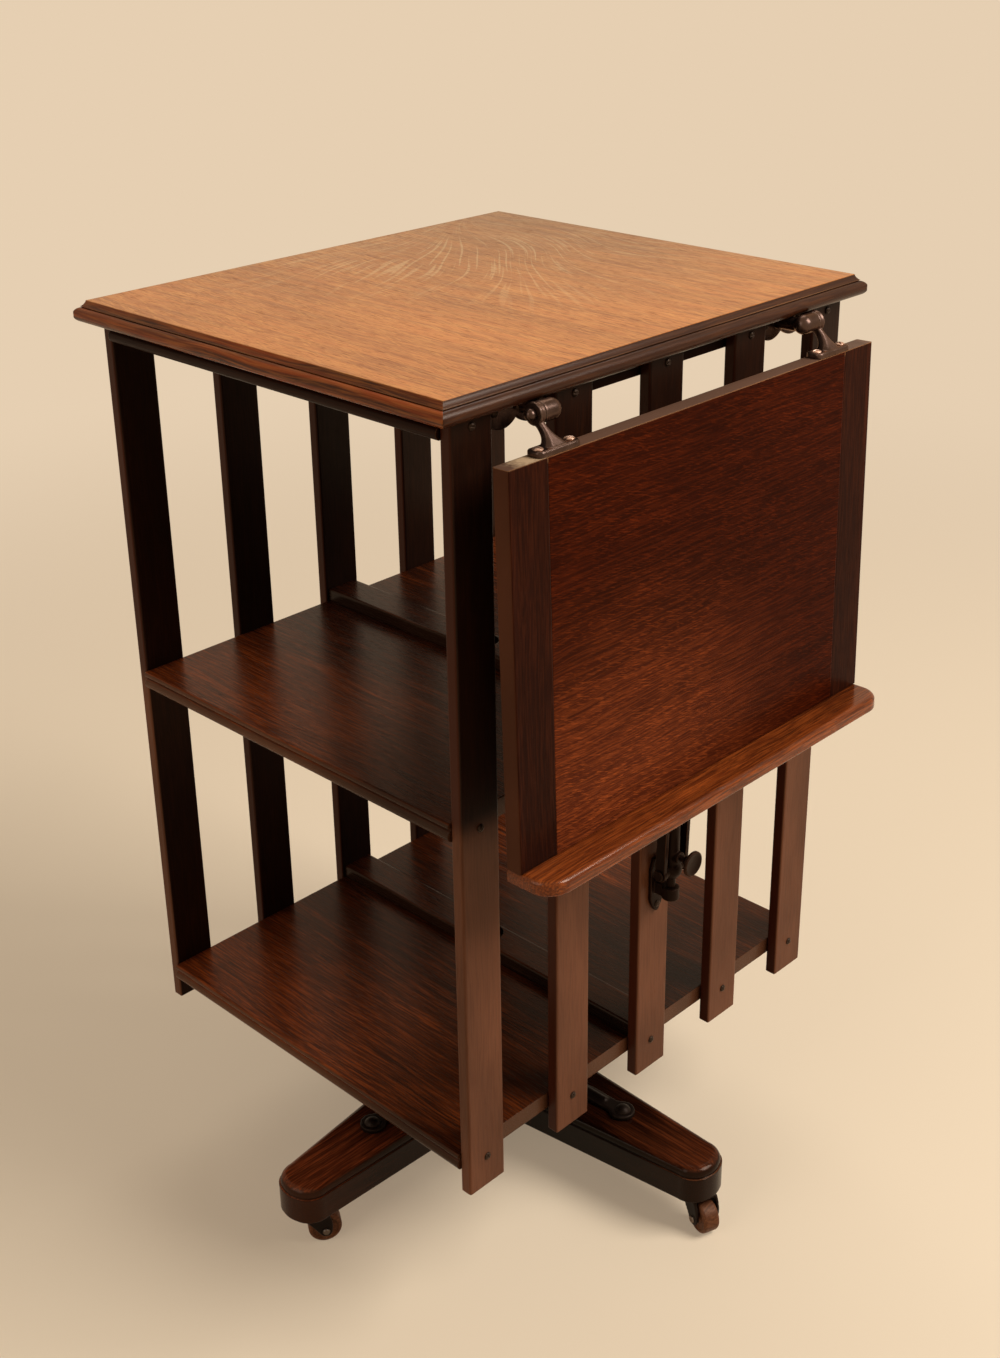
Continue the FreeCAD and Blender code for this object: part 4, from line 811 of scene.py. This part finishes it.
class BOOKCASE_OT_cast_fittings(bpy.types.Operator):
    """Make the hinges, brackets, spider, castor horns and collar as soft-edged castings"""
    bl_idname = "bookcase.cast_fittings"
    bl_label = "Cast the Fittings"

    def execute(self, context):
        metal = context.scene.bookcase_metal
        # Bronzing leaves a smooth grey-brown metal, bright along the rubbed edges
        bronzed = iron("Bronzed cast iron", metal.bronze, metal.bronze_worn, metallic=0.8, roughness=0.25,
                       grit_mm=4.0)
        # Browning is a dry, nearly black skin of rust with hardly any shine
        browned = iron("Browned wrought iron", metal.browned, metal.browned_worn, metallic=0.1, roughness=0.4,
                       grit_mm=1.3, gloss=0.07)
        # Japan is a baked lacquer: deep black with a soft gloss, and brown where it has rubbed thin
        japanned = iron("Japanned cast iron", metal.japan, metal.japan_worn, metallic=0.0, roughness=0.42,
                        grit_mm=1.8, gloss=0.12)
        dress(bronzed, "hinge")
        dress(browned, "stay_b", "stay_c", "stay_l", "stay_spacer", "thumb_screw", "guide_rod")
        dress(japanned, "spider", "castor_horn", "castor_sockets", "bottom_bush", "pivot_cup")
        # Nodes, finish, voxel in millimetres, rounds of smoothing and slot
        kinds = ((("hinge_arm", "hinge_bracket"), bronzed, 0.45, 5, "bronzed_iron"),
                 (("stay_bracket", "stay_collar"), browned, 0.5, 5, "bronzed_iron"),
                 (("castor_horn",), japanned, 0.7, 4, "iron"))
        for node in sorted(NODES):
            for prefixes, finish, voxel_mm, smoothing, slot in kinds:
                if node.startswith(prefixes):
                    new_piece("cast_" + node, casting(node, voxel_mm, smoothing), finish, BODY_OF[node], slot, node)
        new_piece("cast_spider", casting("spider", voxel_mm=1.2, smoothing=6), japanned, "base", "iron",
                  "spider")
        return {"FINISHED"}


class BOOKCASE_OT_turn_steel(bpy.types.Operator):
    """Finish the spindle, the castor axles and the stay's pin in dull steel"""
    bl_idname = "bookcase.turn_steel"
    bl_label = "Turn the Steel"

    def execute(self, context):
        metal = context.scene.bookcase_metal
        # Drawn steel gone dull is a plain grey metal with a broad, soft highlight
        steel = iron("Dull drawn steel", metal.steel, metal.steel, metallic=1.0, roughness=0.38, grit_mm=0.9)
        dress(steel, "spindle", "castor_axle", "stay_pin")
        return {"FINISHED"}


def slotted_head(slot_share):
    """Mesh of a round screw head of unit radius and unit rise along +X, with a slot across it."""
    arcs, sides, crown = 5, 24, 0.06
    slot_middle, slot_height, slot_length = 1.05, 1.2, 3
    turns = [math.pi / 2 * k / arcs for k in range(arcs + 1)]
    dome = lathe([(math.sin(t), max(math.cos(t), crown), False) for t in turns], sides)
    cut = bmesh.new()
    place = Matrix.Translation((slot_middle, 0, 0)) @ Matrix.Diagonal((slot_height, slot_share, slot_length, 1))
    bmesh.ops.create_cube(cut, size=1, matrix=place)
    pieces = []
    for name, shape in (("screw_head", dome), ("slot_cutter", cut)):
        mesh = bpy.data.meshes.new(name)
        shape.to_mesh(mesh)
        shape.free()
        pieces.append(bpy.data.objects.new(name, mesh))
        bpy.context.scene.collection.objects.link(pieces[-1])
    pieces[0].modifiers.new("slot", "BOOLEAN").object = pieces[1]
    slotted = baked_mesh(pieces[0])
    bpy.data.objects.remove(pieces[1])
    return slotted


def islands(mesh):
    """Points of each separate piece of a mesh."""
    shape = bmesh.new()
    shape.from_mesh(mesh)
    bmesh.ops.remove_doubles(shape, verts=shape.verts, dist=WELD)
    seen = set()
    found = []
    for start in shape.verts:
        if start in seen:
            continue
        seen.add(start)
        front, points = [start], []
        while front:
            vert = front.pop()
            points.append(vert.co.copy())
            beside = [edge.other_vert(vert) for edge in vert.link_edges]
            front.extend(other for other in beside if other not in seen)
            seen.update(beside)
        found.append(points)
    shape.free()
    return found


# The screws that stand upright, in the hinge feet, have worn and spread heads
UPRIGHT_HEAD = 1.3


def head_place(points, turn):
    """Matrix that puts the unit head where a screw's points have their own, turned about its shank."""
    end_depth, rim_depth, upright = 0.1 * MM, 0.05 * MM, 0.9
    spread = [max(p[k] for p in points) - min(p[k] for p in points) for k in range(3)]
    axis = spread.index(max(spread))
    points = sorted(points, key=lambda p: p[axis])
    ends = [[p for p in points if abs(p[axis] - end[axis]) < end_depth] for end in (points[0], points[-1])]
    low, high = (sum(end, Vector()) / len(end) for end in ends)
    mean = sum(points, Vector()) / len(points)
    tip, crown = (low, high) if (mean - low).length > (mean - high).length else (high, low)
    out = (crown - tip).normalized()
    heights = [(p - tip).dot(out) for p in points]
    widths = [(p - tip - out * h).length for p, h in zip(points, heights)]
    radius = max(widths)
    seat = max(h for h, w in zip(heights, widths) if w > radius - rim_depth)
    rise = (crown - tip).length - seat
    if out.z > upright:
        radius *= UPRIGHT_HEAD
    face = Vector((1, 0, 0)).rotation_difference(out).to_matrix().to_4x4()
    return (Matrix.Translation(tip + out * seat) @ face @ Matrix.Rotation(turn, 4, "X")
            @ Matrix.Diagonal((rise, radius, radius, 1)))


class BOOKCASE_OT_drive_screws(bpy.types.Operator):
    """Make the slotted heads of the wood screws in the slats, the hinges and the stay's plates"""
    bl_idname = "bookcase.drive_screws"
    bl_label = "Drive the Screws"

    def execute(self, context):
        head_radius, slot_turn = 3.5 * MM, 1.13
        metal = context.scene.bookcase_metal
        # Blued steel is near black with a small soft highlight, and worn bronze is bright and warm
        blued = iron("Blued steel screws", metal.screw, metal.japan_worn, metallic=0.3, roughness=0.32,
                     grit_mm=0.9, gloss=0.2)
        bright = iron("Worn bronze screws", metal.bright_screw, metal.bronze_worn, metallic=0.8, roughness=0.34,
                      grit_mm=0.9)
        finish = {"slat_screws": blued, "slope_screws": bright, "iron_screws": blued}
        slotted = slotted_head(metal.screw_slot / head_radius)
        for node, material in finish.items():
            dress(material, node)
            shape = bmesh.new()
            for index, points in enumerate(islands(NODES[node].data)):
                before = len(shape.verts)
                shape.from_mesh(slotted)
                shape.verts.ensure_lookup_table()
                bmesh.ops.transform(shape, matrix=head_place(points, index * slot_turn), verts=shape.verts[before:])
            mesh = bpy.data.meshes.new(node + "_heads")
            shape.to_mesh(mesh)
            shape.free()
            new_piece(node + "_heads", mesh, material, BODY_OF[node], "steel", node)
        return {"FINISHED"}


class BOOKCASE_OT_knurl_thumbscrew(bpy.types.Operator):
    """Make the thumbscrew with a notched rim and a dished face"""
    bl_idname = "bookcase.knurl_thumbscrew"
    bl_label = "Knurl the Thumbscrew"

    def execute(self, context):
        metal = context.scene.bookcase_metal
        low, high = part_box("thumb_screw")
        rim = (high.z - low.z) / 2
        middle = (low.z + high.z) / 2
        tip, face = low.x, high.x
        thickness, bevel = 4 * MM, 1.0 * MM
        back = face - thickness
        shank, neck, swell, collar = (radius * MM for radius in (2.6, 4.4, 4.8, 6.5))
        stem = [(tip, shank, False), (back - 8 * MM, shank, False), (back - 6 * MM, neck, False),
                (back - 2 * MM, swell, False), (back, collar, False), (back + 0.2 * MM, rim - bevel, False)]
        # The face is dished inside a flat border
        disc = [(back + 0.9 * MM, rim, True), (face - 0.9 * MM, rim, True), (face - 0.1 * MM, rim - bevel, False),
                (face - 0.2 * MM, rim - 3.0 * MM, False), (face - 1.0 * MM, rim - 4.2 * MM, False),
                (face - 0.9 * MM, 1.0 * MM, False)]
        # One step in four round the rim is cut in
        pitch = 4

        def notch(step):
            return metal.knurl_depth if step % pitch == 0 else 0.0

        shape = lathe(stem + disc, metal.knurl_count * pitch, notch)
        bmesh.ops.transform(shape, matrix=Matrix.Translation((0, 0, middle)), verts=shape.verts)
        mesh = bpy.data.meshes.new("knurled_thumbscrew")
        shape.to_mesh(mesh)
        shape.free()
        mesh.shade_smooth()
        mesh.set_sharp_from_angle(angle=math.radians(35))
        new_piece("knurled_thumbscrew", mesh, bpy.data.materials["Browned wrought iron"], "thumbscrew",
                  "bronzed_iron", "thumb_screw")
        return {"FINISHED"}


class Lamp(NamedTuple):
    """Place of a square lamp and its side in metres, and its power in watts."""
    place: tuple
    size: float
    power: float


LAMPS = {"key": Lamp(place=(2.3, 1.2, 2.9), size=1.8, power=135),
         "back": Lamp(place=(-1.1, 1.4, 3.4), size=1.8, power=24),
         "fill": Lamp(place=(-0.4, -3.0, 2.1), size=2.2, power=26)}
# Share of the background's brightness that lights the object
SKY_LIGHT = 0.22


def seen_directly(tree):
    """One for rays from the camera, a mirror or glass, and nought for the light on the object."""
    path = add(tree, "LightPath")
    seen = add(tree, "Math", {"operation": "MAXIMUM"},
               {0: path.outputs["Is Camera Ray"], 1: path.outputs["Is Transmission Ray"]})
    return add(tree, "Math", {"operation": "MAXIMUM"},
               {0: seen.outputs[0], 1: path.outputs["Is Glossy Ray"]}).outputs[0]


def stand_camera(scene, stage):
    """Puts the camera where the bookcase is seen from."""
    lens = bpy.data.cameras.new("camera")
    lens.sensor_fit = "HORIZONTAL"
    lens.sensor_width = 36
    lens.lens = stage.camera_lens
    lens.shift_y = stage.camera_shift
    camera = bpy.data.objects.new("camera", lens)
    scene.collection.objects.link(camera)
    turn = (Matrix.Rotation(stage.camera_yaw, 4, "Z") @ Matrix.Rotation(math.pi / 2 - stage.camera_pitch, 4, "X")
            @ Matrix.Rotation(stage.camera_roll, 4, "Z"))
    camera.matrix_world = Matrix.Translation(stage.camera_place) @ turn
    scene.camera = camera


def hang_lamps(scene):
    """Hangs the soft lamps and turns them to the middle of the bookcase."""
    low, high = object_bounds()
    target = Vector((0, 0, (low.z + high.z) / 2))
    for name, (place, size, power) in LAMPS.items():
        lamp = bpy.data.lights.new(name, "AREA")
        lamp.size = size
        lamp.energy = power
        lamp_object = bpy.data.objects.new(name, lamp)
        scene.collection.objects.link(lamp_object)
        lamp_object.location = place
        lamp_object.rotation_euler = (target - Vector(place)).to_track_quat("-Z", "Y").to_euler()


def painted_floor(stage):
    """Painted floor: matt and even, run into the background's own colour far from the object."""
    blotch, sweep_start, glow_near = 33 * MM, 0.3, 0.3
    material, tree = blank_material("Pale painted floor")
    place = add(tree, "TexCoord").outputs["Object"]
    grain = add(tree, "TexNoise", {"Scale": 1 / blotch, "Detail": 2.0}, {"Vector": place})
    sheen = add(tree, "MapRange", {"To Min": 0.65, "To Max": 0.8}, {"Value": grain.outputs[0]})
    shader = add(tree, "BsdfPrincipled", {"Base Color": rgba(stage.floor_colour), "Specular IOR Level": 0.1},
                 {"Roughness": sheen.outputs[0]})
    far = add(tree, "VectorMath", {"operation": "LENGTH"}, {0: place})
    far = add(tree, "MapRange", {**SMOOTH, "From Min": sweep_start * stage.floor_sweep,
                                 "From Max": stage.floor_sweep, "To Min": glow_near}, {"Value": far.outputs["Value"]})
    glow = add(tree, "Emission", {"Color": rgba(stage.background), "Strength": 1.0})
    share = add(tree, "Math", {"operation": "MULTIPLY"}, {0: far.outputs[0], 1: seen_directly(tree)})
    sweep = add(tree, "MixShader", links={0: share.outputs[0], 1: shader.outputs[0], 2: glow.outputs[0]})
    add(tree, "OutputMaterial", links={"Surface": sweep.outputs[0]})
    return material


def lay_floor(scene, stage):
    """Lays a round floor that reaches far past the sweep."""
    mesh = bpy.data.meshes.new("floor")
    shape = bmesh.new()
    bmesh.ops.create_circle(shape, cap_ends=True, segments=96, radius=20 * stage.floor_sweep)
    shape.to_mesh(mesh)
    shape.free()
    floor = bpy.data.objects.new("floor", mesh)
    scene.collection.objects.link(floor)
    mesh.materials.append(painted_floor(stage))
    floor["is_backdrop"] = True


def surround(scene, stage):
    """Sets the plain pale surroundings, which light the object only softly."""
    world = bpy.data.worlds.new("surroundings")
    world.use_nodes = True
    tree = world.node_tree
    tree.nodes.clear()
    strength = add(tree, "MapRange", {"To Min": SKY_LIGHT, "To Max": 1.0}, {"Value": seen_directly(tree)})
    sky = add(tree, "Background", {"Color": rgba(stage.background)}, {"Strength": strength.outputs[0]})
    add(tree, "OutputWorld", links={"Surface": sky.outputs[0]})
    scene.world = world


class BOOKCASE_OT_set_stage(bpy.types.Operator):
    """Set the camera, the soft lights, the pale floor and the surroundings"""
    bl_idname = "bookcase.set_stage"
    bl_label = "Set the Stage"

    def execute(self, context):
        scene = context.scene
        stage = scene.bookcase_stage
        scene.view_settings.view_transform = "Standard"
        stand_camera(scene, stage)
        hang_lamps(scene)
        lay_floor(scene, stage)
        surround(scene, stage)
        return {"FINISHED"}


OPERATORS = (BOOKCASE_OT_polish_case, BOOKCASE_OT_polish_slope, BOOKCASE_OT_polish_base, BOOKCASE_OT_cast_fittings,
             BOOKCASE_OT_turn_steel, BOOKCASE_OT_drive_screws, BOOKCASE_OT_knurl_thumbscrew, BOOKCASE_OT_set_stage)


class BOOKCASE_PT_panel(bpy.types.Panel):
    """Steps that finish the bookcase, in order"""
    bl_label = "Revolving Bookcase"
    bl_idname = "BOOKCASE_PT_panel"
    bl_space_type = "VIEW_3D"
    bl_region_type = "UI"
    bl_category = "Bookcase"

    def draw(self, context):
        for operator in OPERATORS:
            self.layout.operator(operator.bl_idname)


GROUPS = {"bookcase_wood": BookcaseWood, "bookcase_metal": BookcaseMetal, "bookcase_stage": BookcaseStage}


def register():
    """Register the settings, the operators and the panel."""
    for name, group in GROUPS.items():
        bpy.utils.register_class(group)
        setattr(bpy.types.Scene, name, bpy.props.PointerProperty(type=group))
    for item in OPERATORS + (BOOKCASE_PT_panel,):
        bpy.utils.register_class(item)


def unregister():
    """Take the panel, the operators and the settings away again."""
    for item in reversed(OPERATORS + (BOOKCASE_PT_panel,)):
        bpy.utils.unregister_class(item)
    for name, group in GROUPS.items():
        delattr(bpy.types.Scene, name)
        bpy.utils.unregister_class(group)


def main():
    """Finish the bookcase."""
    register()
    bpy.ops.bookcase.polish_case()
    bpy.ops.bookcase.polish_slope()
    bpy.ops.bookcase.polish_base()
    bpy.ops.bookcase.cast_fittings()
    bpy.ops.bookcase.turn_steel()
    bpy.ops.bookcase.drive_screws()
    bpy.ops.bookcase.knurl_thumbscrew()
    bpy.ops.bookcase.set_stage()


if __name__ == "__main__":
    main()
